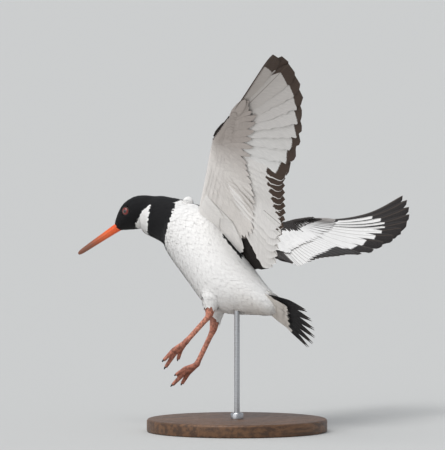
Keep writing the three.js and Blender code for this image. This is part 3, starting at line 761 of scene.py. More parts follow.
def head_chart(points):
    """Unwrap round the head: angle, then distance behind the bill."""
    left, ahead, above = head_place(points).T
    return np.stack([0.5 + np.arctan2(left, above) / (2 * math.pi) * 0.98, (36.0 - ahead) / 110.0], -1)


y_of_face = face_points[:, 1]
coats = {
    "feathers_head": (face_parts == "head", head_chart),
    "feathers_neck": (face_parts == "neck", head_chart),
    "feathers_breast": ((face_parts == "trunk") & (y_of_face < 0), round_chart),
    "feathers_belly": (((face_parts == "trunk") & (y_of_face >= 0)) | (face_parts == "thigh"), round_chart),
}
pieces = {}
for seed, (name, (chosen, chart)) in enumerate(coats.items()):
    pieces[name] = body_feathers(name, chosen, chart, seed)
print("body pieces:", len(pieces))

# %% [markdown]
# The wing's coverts lie in rows, small at the leading edge and longer towards the flight feathers,
# on both faces of the wing. Each covert follows the wing's own surface back from its root, so this
# cell walks the surface and lays a row for each step. Lesser coverts are black above, the greater
# ones white, and the underwing is white with painted shade that makes it a warm greyish white.

# %% Wing coverts
BROWN = np.array(srgb(46, 38, 34)[:3])
HAND_BROWN = np.array(srgb(112, 103, 97)[:3])
# Underwing white with a little painted shade, and the under hand grey with more painted shade.
SHADED_UNDERWING = np.array(srgb(232, 226, 220)[:3])
SHADED_UNDERHAND = np.array(srgb(182, 172, 165)[:3])
ROW_STATIONS = 7
VANE_SHAPE = np.array([0.5, 0.85, 1.0, 1.0, 0.95, 0.75, 0.18])


def row(wing, face, ends, spacing, start, length, half, rise, tone, slant=0.0):
    """One row of coverts: spines, across, lift, half widths and tones."""
    middle = wing.pick(wing.bones, np.linspace(ends[0], ends[1], 40))
    reach = np.concatenate([[0], np.cumsum(np.linalg.norm(np.diff(middle, axis=0), axis=1))])
    number = max(int(reach[-1] / spacing), 3)
    u = np.interp(np.linspace(0, reach[-1], number), reach, np.linspace(ends[0], ends[1], 40))
    u = u + rng.normal(0, 0.006, number)
    t = np.linspace(0, 1, ROW_STATIONS)
    root = start(u) if callable(start) else np.full(number, float(start))
    long = length(u) if callable(length) else np.full(number, float(length))
    long = long * rng.uniform(0.94, 1.06, number)
    back = root[:, None] + long[:, None] * t
    turned = np.clip(u[:, None] + slant * t, 0, 3.05)
    spine = wing.surface(turned.ravel(), back.ravel(), face).reshape(number, ROW_STATIONS, 3)
    lift = np.repeat((wing.pick(wing.normals, u) * face)[:, None], ROW_STATIONS, 1)
    along = unit(np.gradient(spine, axis=1))
    lift = unit(lift - along * (lift * along).sum(-1, keepdims=True))
    across = np.cross(along, lift)
    height = rise[0] + (rise[1] - rise[0]) * t
    spine = spine + lift * height[None, :, None] * rng.uniform(0.9, 1.1, (number, 1, 1))
    width = half * VANE_SHAPE[None, :] * rng.uniform(0.94, 1.06, (number, 1))
    tones = tone(u, back[:, -2]) * rng.uniform(0.95, 1.03, (number, 1))
    chart = np.stack([turned[:, 3] / 3.1, np.clip(back[:, 3] / 110.0, 0, 0.97)], -1)
    return spine, across, lift, width, tones, chart


print("stations in a covert:", ROW_STATIONS)

# %% [markdown]
# A face of a wing is one piece, made from its rows. Two small functions give its colours, because
# the upper side is black in front and white behind, and the underside is pale with a dark edge on
# the hand. The tables give each row's start, length, spacing and half width in millimetres.

# %% Rows on both faces
ARM_ROWS = [(-1, 12, 3.4, 2.9), (2, 13, 3.8, 3.2), (6, 14, 4.2, 3.6), (10, 16, 4.8, 4.0),
            (15, 18, 5.2, 4.3), (20, 20, 5.6, 4.8), (26, 22, 6.0, 5.2), (32, 24, 6.2, 5.4)]
HAND_ROWS = [(-1, 11, 3.2, 2.4), (1.5, 13, 3.6, 2.8), (4, 16, 4.2, 3.2), (7, 22, 4.6, 3.6)]
GREATER_LENGTHS = {1: (38, 46, 40), -1: (46, 66, 60)}
USUAL_CHORD = 42.0


def coverts(name, rows):
    """A piece from rows of coverts."""
    spine, across, lift, width, tones, chart = (np.concatenate([r[i] for r in rows]) for i in range(6))
    ones = np.ones(width.shape)
    camber = 0.05 * width
    tones = np.stack([tones, tones], 1)
    return lay_vanes(name, spine, across, lift, width, width, ones * 0.2, camber, tones, tones,
                     np.full(len(spine), NO_MARK), chart, np.full((len(spine), 2), PATCH))


def upper_tone(u, back):
    """Upper coverts: black in front, white behind; the hand's front rows are dark brown."""
    limit = np.interp(u, [0, 0.4, 0.9, 1.3, 2.0], [70, 60, 52, 42, 28])
    arm = np.where((back < limit)[:, None], BROWN * 0.7, WHITE)
    behind = mix(WHITE, HAND_BROWN, 0.8 * smooth(2.5, 2.95, u)[:, None])
    hand = np.where((back < 20)[:, None], BROWN * 0.9, behind)
    return np.where((u > 2.0)[:, None], hand, arm)


def under_tone(u, back):
    """Under coverts: white with painted shade, greyer with more painted shade on the hand, dark along its
    leading edge.
    """
    tone = mix(SHADED_UNDERWING, SHADED_UNDERHAND, smooth(1.4, 2.3, u)[:, None])
    edge = (u > 1.93) & (back < 5.5)
    return np.where(edge[:, None], BROWN, tone)


def face_rows(wing, face, tone):
    """All rows of coverts on one face of a wing, from the leading edge back."""
    def chord(u):
        return wing.pick(wing.chords, u)

    rows = []
    for k, (start, length, spacing, half) in enumerate(ARM_ROWS):
        def scaled(u, start=start):
            return start * np.clip(chord(u) / USUAL_CHORD, 0.7, 1.5)

        rise = (0.2, 1.2 - 0.04 * k)
        rows.append(row(wing, face, (0.10, 2.02), spacing, scaled, length, half, rise, tone, slant=0.02))
    rows.append(row(wing, face, (0.15, 2.0), 6.4, lambda u: chord(u) - 10, 34, 6.0, (0.2, 1.1), tone))
    for start, length, spacing, half in HAND_ROWS:
        rows.append(row(wing, face, (1.98, 2.98), spacing, start, length, half, (0.2, 1.2), tone))

    def greater(u):
        return np.interp(u, [2, 2.5, 3], GREATER_LENGTHS[face])

    rows.append(row(wing, face, (2.0, 2.97), 5.4, 9, greater, 5.6, (0.2, 0.9), tone))
    return rows


for side, wing in wings.items():
    for face, label, tone in ((1, "upper", upper_tone), (-1, "under", under_tone)):
        name = f"coverts_{side}_{label}"
        pieces[name] = coverts(name, face_rows(wing, face, tone))

# %% [markdown]
# Flight feathers give the wing its shape, so each one is laid on its own: ten primaries from the
# hand, fifteen secondaries from the forearm and five tertials from the elbow. The leading vane is
# narrow and rides over the next feather; the wide trailing vane slides under its neighbour. The
# outer primaries of the spread right wing narrow towards their tips, which opens slots like those
# between fingers. This cell says how many there are and where the dark tips begin.

# %% Flight feathers
FLIGHT_STATIONS, FLIGHT_COLUMNS, SPREAD_STATION = 26, 9, 18
DARK = np.array(srgb(32, 27, 25)[:3])
TIP_BROWN = np.array(srgb(84, 68, 58)[:3])
GREY = np.array(srgb(150, 142, 136)[:3])
FANS = {
    "primaries": {"count": 10, "from": 3.0, "to": 2.05, "reach": 0.985},
    "secondaries": {"count": 15, "from": 1.995, "to": 0.945, "reach": 1.0},
    "tertials": {"count": 5, "from": 0.87, "to": 0.2, "reach": 1.0},
}
TIP_DARK = {10: 150, 9: 75, 8: 60, 7: 52, 6: 46, 5: 41, 4: 38, 3: 36, 2: 34, 1: 32}
TIP_DARK_UNDER = {10: 44, 9: 42, 8: 36, 7: 31, 6: 28, 5: 26, 4: 25, 3: 25, 2: 25, 1: 26}
SECONDARY_DARK, SECONDARY_LESS, TERTIAL_DARK = 32.0, 3.0, 50.0


def dark_depth(kind, index, left_over, under, lead, half):
    """Millimetres into the dark marking, from what is left to the tip and the place across."""
    edge = np.clip(np.abs(lead) / np.maximum(half, 1.0), 0, 1)
    if kind == "primaries":
        number = 10 - index
        tip = (TIP_DARK_UNDER if under else TIP_DARK)[number]
        depth = tip - left_over - 13.0 * (1 - edge)
        outer = np.where(lead > 0, lead - 0.7, -9.0)
        return np.maximum(depth, outer) if number >= (10 if under else 6) else depth
    if kind == "secondaries":
        length = SECONDARY_DARK - SECONDARY_LESS * index
        fringe = lead < -half * 0.78
        return np.where(fringe | (length < 4), -4.0, length - left_over - 4.0 * (1 - edge))
    return TERTIAL_DARK - left_over - 6.0 * (1 - edge)


print("feathers in a wing:", sum(fan["count"] for fan in FANS.values()))

# %% [markdown]
# A fan is worked out first as bare shafts, with one more at each end than it needs. The gaps to the
# neighbours then give the widths: a narrow leading vane, and a trailing vane wide enough to reach
# under the next feather. The tip is rounded by a curve close to an ellipse.

# %% Shafts and widths of a fan
TIP_FROM = {"primaries": 0.80, "secondaries": 0.86, "tertials": 0.86}
LEAD_SHARE, LEAD_WIDTHS = 0.42, (2.6, 6.5)
TRAIL_SHARE = {"primaries": 1.15, "secondaries": 1.5, "tertials": 1.5}
NARROWEST, WIDEST, WIDEST_FINGER = 8.0, 26.0, 17.0
OUTERMOST_GAP, EDGE_HALF = 8.0, 0.35


def fan_lines(wing, fan, v):
    """Shafts, directions and lengths of a fan, with a spare feather at each end."""
    u = mix(fan["from"], fan["to"], np.arange(-1, fan["count"] + 1) / (fan["count"] - 1))
    u = np.clip(u, 0.05, 3.05)
    direction, length = wing.pick(wing.directions, u), wing.pick(wing.lengths, u) * fan["reach"]
    normal, start = wing.pick(wing.normals, u), wing.pick(wing.bones, u)
    bend = wing.bend * length**3 / PRIMARY_LENGTH**2
    spines = (start[:, None] + direction[:, None] * (length[:, None] * v)[..., None]
              + normal[:, None] * (bend[:, None] * (v**3 - v))[..., None])
    return spines, direction, length


def fan_halves(wing, kind, v, spines):
    """Half widths of the leading and the trailing vane of each feather."""
    count = len(spines) - 2
    inner = np.arange(1, count + 1)
    to_outer = np.linalg.norm(spines[inner - 1] - spines[inner], axis=2)
    to_inner = np.linalg.norm(spines[inner + 1] - spines[inner], axis=2)
    to_outer[0] = OUTERMOST_GAP if kind == "primaries" else to_outer[1]
    to_inner[-1] = to_inner[-2]
    number = np.arange(count)[:, None]
    rise = 0.5 + 0.5 * smooth(0.0, 0.25, v)[None]
    past = np.clip((v - TIP_FROM[kind]) / (1 - TIP_FROM[kind]), 0, 1)
    tip = np.sqrt(np.maximum(1 - past**2.2, 0.0))[None]
    lead = np.clip(LEAD_SHARE * to_outer, *LEAD_WIDTHS)
    trail = np.clip(TRAIL_SHARE[kind] * to_inner, NARROWEST, WIDEST_FINGER if wing.fingered else WIDEST)
    if kind == "primaries" and wing.fingered:
        trail = trail * (1 - 0.45 * smooth(0.5, 0.66, v)[None] * (number < 5) * (1 - number / 6.0))
        lead = lead * (1 - 0.25 * smooth(0.5, 0.7, v)[None] * (number < 4))
    ragged = 1 + 0.05 * rng.normal(0, 1, (count, FLIGHT_STATIONS)) * smooth(0.3, 0.6, v)[None]
    return np.maximum(lead * rise * tip, EDGE_HALF), np.maximum(trail * rise * tip * ragged, EDGE_HALF)


print("stations in a flight feather:", FLIGHT_STATIONS)

# %% [markdown]
# Now each fan is laid. A vane lies level with the spread of its fan, tilted a few degrees so that
# the leading edge rides over its neighbour. White, dark and brown differ from kind to kind, and the
# dark tip is given point by point, so its edge can run along the vane as well as across it.

# %% Lay the fans
RIDE_OVER = math.radians(5.0)


def fan_vanes(wing, kind, side):
    """All flight feathers of one kind on one wing."""
    count = FANS[kind]["count"]
    v = np.linspace(0, 1, FLIGHT_STATIONS) ** 0.9
    spines, direction, length = fan_lines(wing, FANS[kind], v)
    lead_half, trail_half = fan_halves(wing, kind, v, spines)
    index = np.arange(1, count + 1)
    spine, length = spines[index], length[index]
    along = unit(np.gradient(spine, axis=1))
    spread = (spines[index - 1] - spines[index + 1])[:, SPREAD_STATION]
    spread[0] = (spines[1] - spines[2])[SPREAD_STATION]
    level = unit(np.cross(spread, direction[index])) * wing.side
    lift = np.repeat(level[:, None], FLIGHT_STATIONS, 1)
    lift = unit(lift - along * (lift * along).sum(-1, keepdims=True))
    tilt = RIDE_OVER * wing.side
    across = np.cross(along, lift) * math.cos(tilt) + lift * math.sin(tilt)
    lift = unit(np.cross(across, along))
    left, right = (trail_half, lead_half) if wing.side > 0 else (lead_half, trail_half)
    columns = np.linspace(-1, 1, FLIGHT_COLUMNS)
    offset = np.where(columns < 0, columns * left[..., None], columns * right[..., None]) * wing.side
    half = np.where(offset > 0, lead_half[..., None], trail_half[..., None])
    left_over = (length[:, None] * (1 - v))[..., None] + 0 * offset
    dark = np.stack([[dark_depth(kind, i, left_over[i], under, offset[i], half[i])
                      for under in (False, True)] for i in range(count)])
    pale = np.tile(WHITE, (count, 2, 1))
    deep = np.tile(np.stack([DARK, TIP_BROWN * 0.8]), (count, 1, 1))
    if kind == "primaries":
        # Undersides of the primaries greyer with painted shade, most on the outermost.
        pale[:, 1] = mix(WHITE, SHADED_UNDERHAND, np.linspace(0.8, 0.0, count)[:, None])
    if kind == "secondaries":
        # Undersides of the secondaries white with a little painted shade.
        pale[:, 1] = mix(SHADED_UNDERWING, WHITE, 0.5)
    if kind == "tertials":
        pale[:, 0], pale[:, 1], deep[:, 0], deep[:, 1] = BROWN * 0.7, GREY, BROWN * 0.7, DARK
    thick = np.repeat((0.75 - 0.45 * v)[None], count, 0)
    chart = np.stack([(np.arange(count) + 0.5) / count, np.full(count, 0.25)], -1)
    patch = np.tile([0.9 / count, 0.46], (count, 1))
    return lay_vanes(f"{kind}_{side}", spine, across, lift, left, right, thick, 0.06 * (left + right),
                     pale, deep, dark, chart, patch, under_shift=0.5)


for side, wing in wings.items():
    for kind in FANS:
        pieces[f"{kind}_{side}"] = fan_vanes(wing, kind, side)

# %% [markdown]
# The bastard wing is a small stiff fan at the wrist. It is three short feathers over each other,
# lying along the leading edge of the hand, dark above and below. The table gives each one's share
# of the full length and how far forward it starts.

# %% Bastard wing
ALULA_LENGTH = 44.0
ALULA_FEATHERS = [(1.0, 2.6), (0.78, 1.2), (0.56, 0.0)]


def alula(wing, side):
    """Three short feathers along the hand's leading edge."""
    wrist = wing.pick(wing.bones, 2.0)
    normal = wing.pick(wing.normals, 2.5)
    v = np.linspace(0, 1, 10)
    spines, halves = [], []
    for k, (share, sideways) in enumerate(ALULA_FEATHERS):
        root = wrist + wing.forward * sideways + wing.palm * 8.0 + normal * (0.5 + 0.7 * k)
        spines.append(root + wing.palm * (v * ALULA_LENGTH * share)[:, None])
        halves.append(4.0 * (0.6 + 0.4 * smooth(0, 0.3, v)) * np.sqrt(np.maximum(1 - v**4, 0.01)))
    spine, half = np.array(spines), np.array(halves)
    along = unit(np.gradient(spine, axis=1))
    lift = np.broadcast_to(normal, spine.shape)
    across = np.cross(along, lift)
    tone = np.tile(BROWN * 0.8, (3, 2, 1))
    ones = np.ones(half.shape)
    return lay_vanes(f"alula_{side}", spine, across, lift, half, half, ones * 0.6, 0.12 * half, tone, tone,
                     np.full(3, NO_MARK), np.array([[0.17, 0.25], [0.5, 0.25], [0.83, 0.25]]),
                     np.tile([0.3, 0.46], (3, 1)), under_shift=0.5)


for side, wing in wings.items():
    pieces[f"alula_{side}"] = alula(wing, side)

# %% [markdown]
# The tail is a fan of twelve pointed feathers, white at the base and black for its outer half. They
# lie in pairs, so that the tip shows six fingers, and the fan is turned and twisted as in a braking
# landing.

# %% Tail
TAIL_ROOT = np.array([0.0, 88.0, 1.0])
TAIL_COUNT, TAIL_LENGTH, TAIL_SPREAD, TAIL_TURN = 12, 82.0, 21.0, 5.0
TAIL_ROOT_WIDTH, TAIL_LIFT, TAIL_TWIST, TAIL_SHORTER = 22.0, math.radians(8.0), math.radians(24.0), 0.1
TAIL_BOW, TAIL_STACK, TAIL_DARK = -2.0, 0.9, 47.0
TWIST = np.array([math.cos(TAIL_TWIST), 0.0, math.sin(TAIL_TWIST)])


def tail_line(place):
    """Start, direction, normal and length of tail feathers, from -1 on the left to 1."""
    place = np.asarray(place, float)
    angle = -np.radians(place * TAIL_SPREAD + TAIL_TURN)
    start = TAIL_ROOT - TWIST * (place * TAIL_ROOT_WIDTH / 2)[..., None]
    direction = TWIST * np.sin(angle)[..., None]
    direction = direction + np.cos(angle)[..., None] * np.array([0, math.cos(TAIL_LIFT), math.sin(TAIL_LIFT)])
    return start, direction, unit(np.cross(TWIST, direction)), TAIL_LENGTH * (1 - TAIL_SHORTER * place**2)


def tail_fan():
    """Twelve pointed feathers, the middle ones on top."""
    v = np.linspace(0, 1, 20)
    pairs_at = np.repeat(np.linspace(-0.96, 0.96, TAIL_COUNT // 2), 2)
    place = pairs_at + np.tile([-0.045, 0.045], TAIL_COUNT // 2)
    start, direction, normal, length = tail_line(place)
    spine = start[:, None] + direction[:, None] * (length[:, None] * v)[..., None]
    bowed = (TAIL_BOW * place**2)[:, None] * (v**3 - v) + (TAIL_STACK * (1 - place**2))[:, None]
    spine = spine + normal[:, None] * bowed[..., None]
    gap = np.linalg.norm(spine[2] - spine[0], axis=1)
    envelope = (0.7 + 0.3 * smooth(0, 0.3, v)) * (1 - np.clip((v - 0.60) / 0.40, 0, 1))
    outer = np.maximum(gap * 0.52 * envelope, 0.3)
    inner = np.maximum(gap * 0.58 * envelope, 0.3)
    along = unit(np.gradient(spine, axis=1))
    lift = np.repeat(normal[:, None], len(v), 1)
    across = np.cross(along, lift)
    is_left = (place < 0)[:, None]
    left, right = np.where(is_left, inner, outer), np.where(is_left, outer, inner)
    columns = np.linspace(-1, 1, 7)
    offset = np.where(columns < 0, columns * left[..., None], columns * right[..., None])
    left_over = (length[:, None] * (1 - v))[..., None] + 0 * offset
    dark = TAIL_DARK - left_over - 5.0 * np.exp(-((offset / 3.0) ** 2))
    dark[:2] = np.maximum(dark[:2], 80.0 - left_over[:2])
    dark[-2:] = 30.0 - left_over[-2:] + 8.0 * (offset[-2:] > 0)
    dark = np.stack([dark, dark], 1)
    # The pale base carries painted shade, mixed 40% from white toward the warm shade grey.
    tone = np.tile(mix(WHITE, SHADED, 0.4), (TAIL_COUNT, 2, 1))
    deep = np.tile(BLACK, (TAIL_COUNT, 2, 1))
    chart = np.stack([(np.arange(TAIL_COUNT) + 0.5) / TAIL_COUNT, np.full(TAIL_COUNT, 0.25)], -1)
    patch = np.tile([0.9 / TAIL_COUNT, 0.46], (TAIL_COUNT, 1))
    return lay_vanes("tail_fan", spine, across, lift, left, right, np.full(left.shape, 0.5),
                     0.05 * (left + right), tone, deep, dark, chart, patch, under_shift=0.5)


print("tail feathers:", TAIL_COUNT)

# %% [markdown]
# The tail coverts come in four rows above and four below. They start up on the rump, where they
# stand as high as the body's coat, and settle down onto the fan. The table gives each row's start
# as a share of the tail, its number of feathers, their length, half width and two heights.

# %% Tail coverts
TAIL_ROWS = [(-0.26, 9, 30, 5.5, (7.5, 6.0)), (-0.12, 10, 31, 5.5, (7.0, 4.6)),
             (0.02, 11, 30, 5.2, (5.6, 2.8)), (0.16, 12, 26, 4.6, (3.4, 1.3))]


def tail_coverts():
    """Soft coverts above and below the tail's roots, in rows that step back."""
    t = np.linspace(0, 1, ROW_STATIONS)
    parts = [[] for _ in range(6)]
    for face in (1, -1):
        for begin, number, length, half, heights in TAIL_ROWS:
            open_edge = 0.98 if begin < -0.1 else 0.74
            place = np.linspace(-open_edge, 0.96, number) + rng.normal(0, 0.03, number)
            start, direction, normal, reach = tail_line(place)
            far = begin * TAIL_LENGTH + length * rng.uniform(0.9, 1.1, number)[:, None] * t
            spine = start[:, None] + direction[:, None] * far[..., None]
            round_off = (1 - 0.45 * place**2)[:, None]
            height = (heights[0] + (heights[1] - heights[0]) * t)[None] * round_off
            spine = spine + normal[:, None] * face * height[..., None]
            along = unit(np.gradient(spine, axis=1))
            lift = np.repeat(normal[:, None] * face, ROW_STATIONS, 1)
            lift = unit(lift - along * (lift * along).sum(-1, keepdims=True))
            # Painted shade: under coverts mixed far toward the warm shade grey, upper ones only a little.
            shade = 0.75 if face < 0 else 0.1
            tone = mix(WHITE, SHADED, shade)[None] * rng.uniform(0.95, 1.03, (number, 1))
            width = half * VANE_SHAPE[None] * rng.uniform(0.95, 1.05, (number, 1))
            chart = np.stack([0.5 + place * 0.22, 0.5 + face * (0.1 + far[:, 3] / 140.0) * 0.8], -1)
            for k, value in enumerate((spine, np.cross(along, lift), lift, width, tone, chart)):
                parts[k].append(value)
    rows = [tuple(np.concatenate(p) for p in parts)]
    return coverts("tail_coverts", rows)


pieces["tail_fan"] = tail_fan()
pieces["tail_coverts"] = tail_coverts()

# %% [markdown]
# Two soft groups bridge the wing and the body. Scapulars are black and lie over the shoulder from
# above; axillaries are long white feathers in the armpit, seen under a raised wing. Both are rows
# like the coverts', thinned to a few broad feathers. The tables give each row's start and length.

# %% Shoulder and armpit feathers
SCAPULAR_ROWS = [(2, 26), (14, 32), (26, 38), (38, 44)]
AXILLARY_ROWS = [(4, 40), (16, 50), (28, 56), (40, 52)]


def bridge(wing, face, far_end, number, root, length, half, rise, tone):
    """Long feathers from the wing's root back over the join with the body."""
    made = row(wing, face, (0.0, far_end), 1.0, root, length, half, rise, tone)
    chosen = np.linspace(0, len(made[0]) - 1, number).astype(int)
    return tuple(values[chosen] for values in made)


def scapular_tone(u, back):
    return np.tile(BLACK * 1.1, (len(u), 1))


def axillary_tone(u, back):
    # White with a little painted shade from the underwing's shaded white.
    return np.tile(mix(SHADED_UNDERWING, WHITE, 0.45), (len(u), 1))


for side, wing in wings.items():
    rows = [bridge(wing, 1, 0.5, 9, start, length, 6.5, (0.8, 2.4), scapular_tone)
            for start, length in SCAPULAR_ROWS]
    pieces[f"scapulars_{side}"] = coverts(f"scapulars_{side}", rows)
    rows = [bridge(wing, -1, 0.6, 10, start, length, 8.0, (0.8, 2.8), axillary_tone)
            for start, length in AXILLARY_ROWS]
    pieces[f"axillaries_{side}"] = coverts(f"axillaries_{side}", rows)

# %% [markdown]
# Braking air lifts a small ruff of white feathers at the front of the shoulder. It is a tuft of
# short vanes that lie round a small dome, each following the dome's curve like shingles.

# %% Ruffled shoulder feathers
RUFF_PLACE = np.array([13.0, -90.0, 27.5])
RUFF_COUNT, RUFF_LENGTH, RUFF_HALF, RUFF_RADIUS = 120, 6.5, 1.9, 6.2
RUFF_FLOW = unit([0.25, 0.9, 0.3])
RUFF_VANE = np.array([0.5, 0.9, 1.0, 0.85, 0.25])


def ruff(name):
    """White vanes lying over a small dome in front of the left shoulder."""
    t = np.linspace(0, 1, STATIONS)
    out = unit(rng.normal(0, 1, (RUFF_COUNT, 3)))
    lie = unit(RUFF_FLOW - out * (out @ RUFF_FLOW)[:, None])
    turn = (t * RUFF_LENGTH / RUFF_RADIUS)[None, :, None]
    lift = out[:, None] * np.cos(turn) + lie[:, None] * np.sin(turn)
    heading = lie[:, None] * np.cos(turn) - out[:, None] * np.sin(turn)
    height = RUFF_RADIUS + rng.uniform(-0.2, 0.8, (RUFF_COUNT, 1, 1)) * t[None, :, None]
    spine = RUFF_PLACE + lift * height
    width = np.tile(RUFF_HALF * RUFF_VANE, (RUFF_COUNT, 1))
    tone = np.tile(WHITE, (RUFF_COUNT, 2, 1))
    ones = np.ones(width.shape)
    return lay_vanes(name, spine, np.cross(heading, lift), lift, width, width, ones * 0.15, ones * 0.2,
                     tone, tone, np.full(RUFF_COUNT, NO_MARK), 0.5 + out[:, :2] * 0.4,
                     np.full((RUFF_COUNT, 2), PATCH))


pieces["shoulder_ruff"] = ruff("shoulder_ruff")

# %% [markdown]
# Bill, claws and the rims round the eyes are all lofts: rings of the same number of points, bridged
# one to the next. One helper makes every loft, so that each of them is closed and faces outwards.

# %% Loft helper
def loft(shaper, rings, closed=False):
    """Bridges rings of equal length into one skin, and fills the ends unless it closes on itself."""
    loops = []
    for places in rings:
        circle = bmesh.ops.create_circle(shaper, segments=len(places), radius=0.001)["verts"]
        for v, place in zip(circle, places):
            v.co = to_display(place)
        loops.append(list({edge for v in circle for edge in v.link_edges}))
    pairs_of = list(zip(loops, loops[1:] + loops[:1])) if closed else list(zip(loops, loops[1:]))
    for a, b in pairs_of:
        bmesh.ops.bridge_loops(shaper, edges=a + b)
    if not closed:
        for end in (loops[0], loops[-1]):
            bmesh.ops.edgeloop_fill(shaper, edges=end)
    bmesh.ops.recalc_face_normals(shaper, faces=shaper.faces)


def round_ring(centre, across, up, wide, tall, sides):
    """Points of an ellipse round a centre."""
    turn = np.linspace(0, 2 * math.pi, sides, endpoint=False)
    return np.array(centre) + np.outer(np.cos(turn) * wide, across) + np.outer(np.sin(turn) * tall, up)


def smooth_faces(made, angle=50.0):
    """Smooth shading with sharp edges kept past an angle."""
    made.data.polygons.foreach_set("use_smooth", np.ones(len(made.data.polygons), bool))
    made.data.set_sharp_from_angle(angle=math.radians(angle))
    return made


print("loft ready")

# %% [markdown]
# The bill is two horny halves with a D section, meeting at the gape. Each is lofted from rings that
# follow the bill's table of sizes, closer together than in the solids, with a nostril slot pressed
# into the side of the upper half. The table gives, at each distance ahead of the head's middle,
# the heights of top, gape and bottom and the half width.

# %% Bill
BILL = [(30, 5.2, -0.6, -6.2, 4.4), (36, 5.0, -0.8, -5.9, 4.0), (50, 4.2, -1.1, -5.4, 3.2),
        (66, 3.4, -1.3, -5.0, 2.5), (82, 2.6, -1.4, -4.7, 1.9), (95, 1.5, -1.5, -4.1, 1.4),
        (99, 0.1, -1.55, -2.9, 0.9)]
BILL_BASE, BILL_TIP = BILL[0][0], BILL[-1][0]
GAPE = 0.3
NOSTRIL_HEIGHT, NOSTRIL_TALL, NOSTRIL_DEEP = 0.52, 0.16, 0.16


def nostril(rise, ahead):
    """How far the nostril slot narrows the bill at a place, as a share of its width."""
    tall = math.exp(-((rise - NOSTRIL_HEIGHT) / NOSTRIL_TALL) ** 2)
    return NOSTRIL_DEEP * tall * float(smooth(34, 38, ahead) * smooth(54, 48, ahead))


def bill_ring(ahead, upper):
    """Points round one half of the bill: an arch, then the middle of its flat side."""
    _, top, gape, bottom, half = table(BILL, ahead)
    flat = gape + (GAPE if upper else -GAPE) / 2
    reach = (top if upper else bottom) - flat
    ring = []
    for angle in np.linspace(0, math.pi, 15):
        rise, left = math.sin(angle), math.cos(angle) * half
        if upper:
            left *= 1 - nostril(rise, ahead)
        ring.append(on_head(left, ahead, flat + rise * reach))
    return np.array(ring + [on_head(0.0, ahead, flat)])


def bill_half(name, upper):
    """One half of the bill; each vertex keeps how far along the bill it is."""
    shaper = bmesh.new()
    steps = np.concatenate([np.linspace(BILL_BASE, 94, 44), np.linspace(95, BILL_TIP, 6)])
    loft(shaper, [bill_ring(ahead, upper) for ahead in steps])
    made = smooth_faces(new_piece(name, shaper))
    places = head_place(to_body([v.co for v in made.data.vertices]))
    layer = made.data.attributes.new("reach", "FLOAT", "POINT")
    share = (places[:, 1] - BILL_BASE) / (BILL_TIP - BILL_BASE)
    layer.data.foreach_set("value", share.astype(np.float32))
    return made


pieces["bill_upper_horn"] = bill_half("bill_upper_horn", True)
pieces["bill_lower_horn"] = bill_half("bill_lower_horn", False)
print("bill length mm:", BILL_TIP - BILL_BASE)

# %% [markdown]
# An oystercatcher's eye is a red iris round a small dark pupil, set in a bright orange-red fleshy
# ring. The ball keeps the solid's size and place; a number on each vertex says how far it is from
# the eye's axis, which lets the finish draw the pupil and iris with a crisp edge. The rims' table
# gives their radius, how far out they lie, and the half sizes of their section.

# %% Eyes and their rims
RIMS = {"eye_ring": (3.95, 3.35, 0.42, 0.4), "eyelid": (4.75, 2.65, 0.85, 0.7)}
RIM_STEPS, RIM_SIDES = 40, 10

for side, centre in EYES.items():
    outward = HEAD_LEFT if side == "left" else -HEAD_LEFT
    axis = unit(outward + BILL_AIM * 0.16 + HEAD_UP * 0.05)
    ball = bmesh.new()
    bmesh.ops.create_uvsphere(ball, u_segments=48, v_segments=32, radius=EYE_RADIUS / 1000.0)
    for v in ball.verts:
        v.co += Vector(to_display(centre))
    eye = smooth_faces(new_piece(f"eyeball_{side}", ball))
    spots = unit(to_body([v.co for v in eye.data.vertices]) - centre)
    layer = eye.data.attributes.new("off_axis", "FLOAT", "POINT")
    layer.data.foreach_set("value", np.degrees(np.arccos(np.clip(spots @ axis, -1, 1))).astype(np.float32))
    pieces[f"eyeball_{side}"] = eye
    one = unit(np.cross(axis, HEAD_UP))
    two = np.cross(axis, one)
    for label, (radius, out, wide, tall) in RIMS.items():
        rings = []
        for turn in np.linspace(0, 2 * math.pi, RIM_STEPS, endpoint=False):
            spoke = one * math.cos(turn) + two * math.sin(turn)
            middle = centre + axis * out + spoke * radius
            rings.append(round_ring(middle, spoke, axis, wide, tall, RIM_SIDES))
        shaper = bmesh.new()
        loft(shaper, rings, closed=True)
        pieces[f"{label}_{side}"] = smooth_faces(new_piece(f"{label}_{side}", shaper))
print("eye radius mm:", EYE_RADIUS)

# %% [markdown]
# The claws are short, blunt and dark. All six are lofted into one piece, each a little curved
# cone that leaves the toe's end. The table gives the places of its rings and their half widths.

# %% Claws
CLAW_RINGS = [(0, 1.15), (0.3, 1.2), (0.6, 1.0), (0.85, 0.65), (1.0, 0.25)]
CLAW_SIDES, CLAW_BOW = 12, 0.5

shaper = bmesh.new()
for points in LEG_POINTS.values():
    joint = np.array(points[1], float)
    for tip in points[2:]:
        tip = np.array(tip, float)
        knuckle = mix(joint, tip, 0.45) + (0, -2.5, 0)
        root, end = mix(knuckle, tip, 0.78), tip
        line = unit(end - root)
        across = unit(np.cross(line, (0, 1, 0)))
        up = np.cross(across, line)
        rings = []
        for t, wide in CLAW_RINGS:
            middle = mix(root, end, t) - up * CLAW_BOW * math.sin(t * math.pi)
            rings.append(round_ring(middle, across, up, wide, wide * 1.1, CLAW_SIDES))
        claw = bmesh.new()
        loft(claw, rings)
        held = bpy.data.meshes.new("claw")
        claw.to_mesh(held)
        claw.free()
        shaper.from_mesh(held)
        bpy.data.meshes.remove(held)
pieces["claw_horns"] = smooth_faces(new_piece("claw_horns", shaper))
print("claws: 6")

# %% [markdown]
# The stand is a turned wooden base with a steel rod rising from a collar to the belly. A profile
# spun round the upright axis makes each, just as a lathe would.

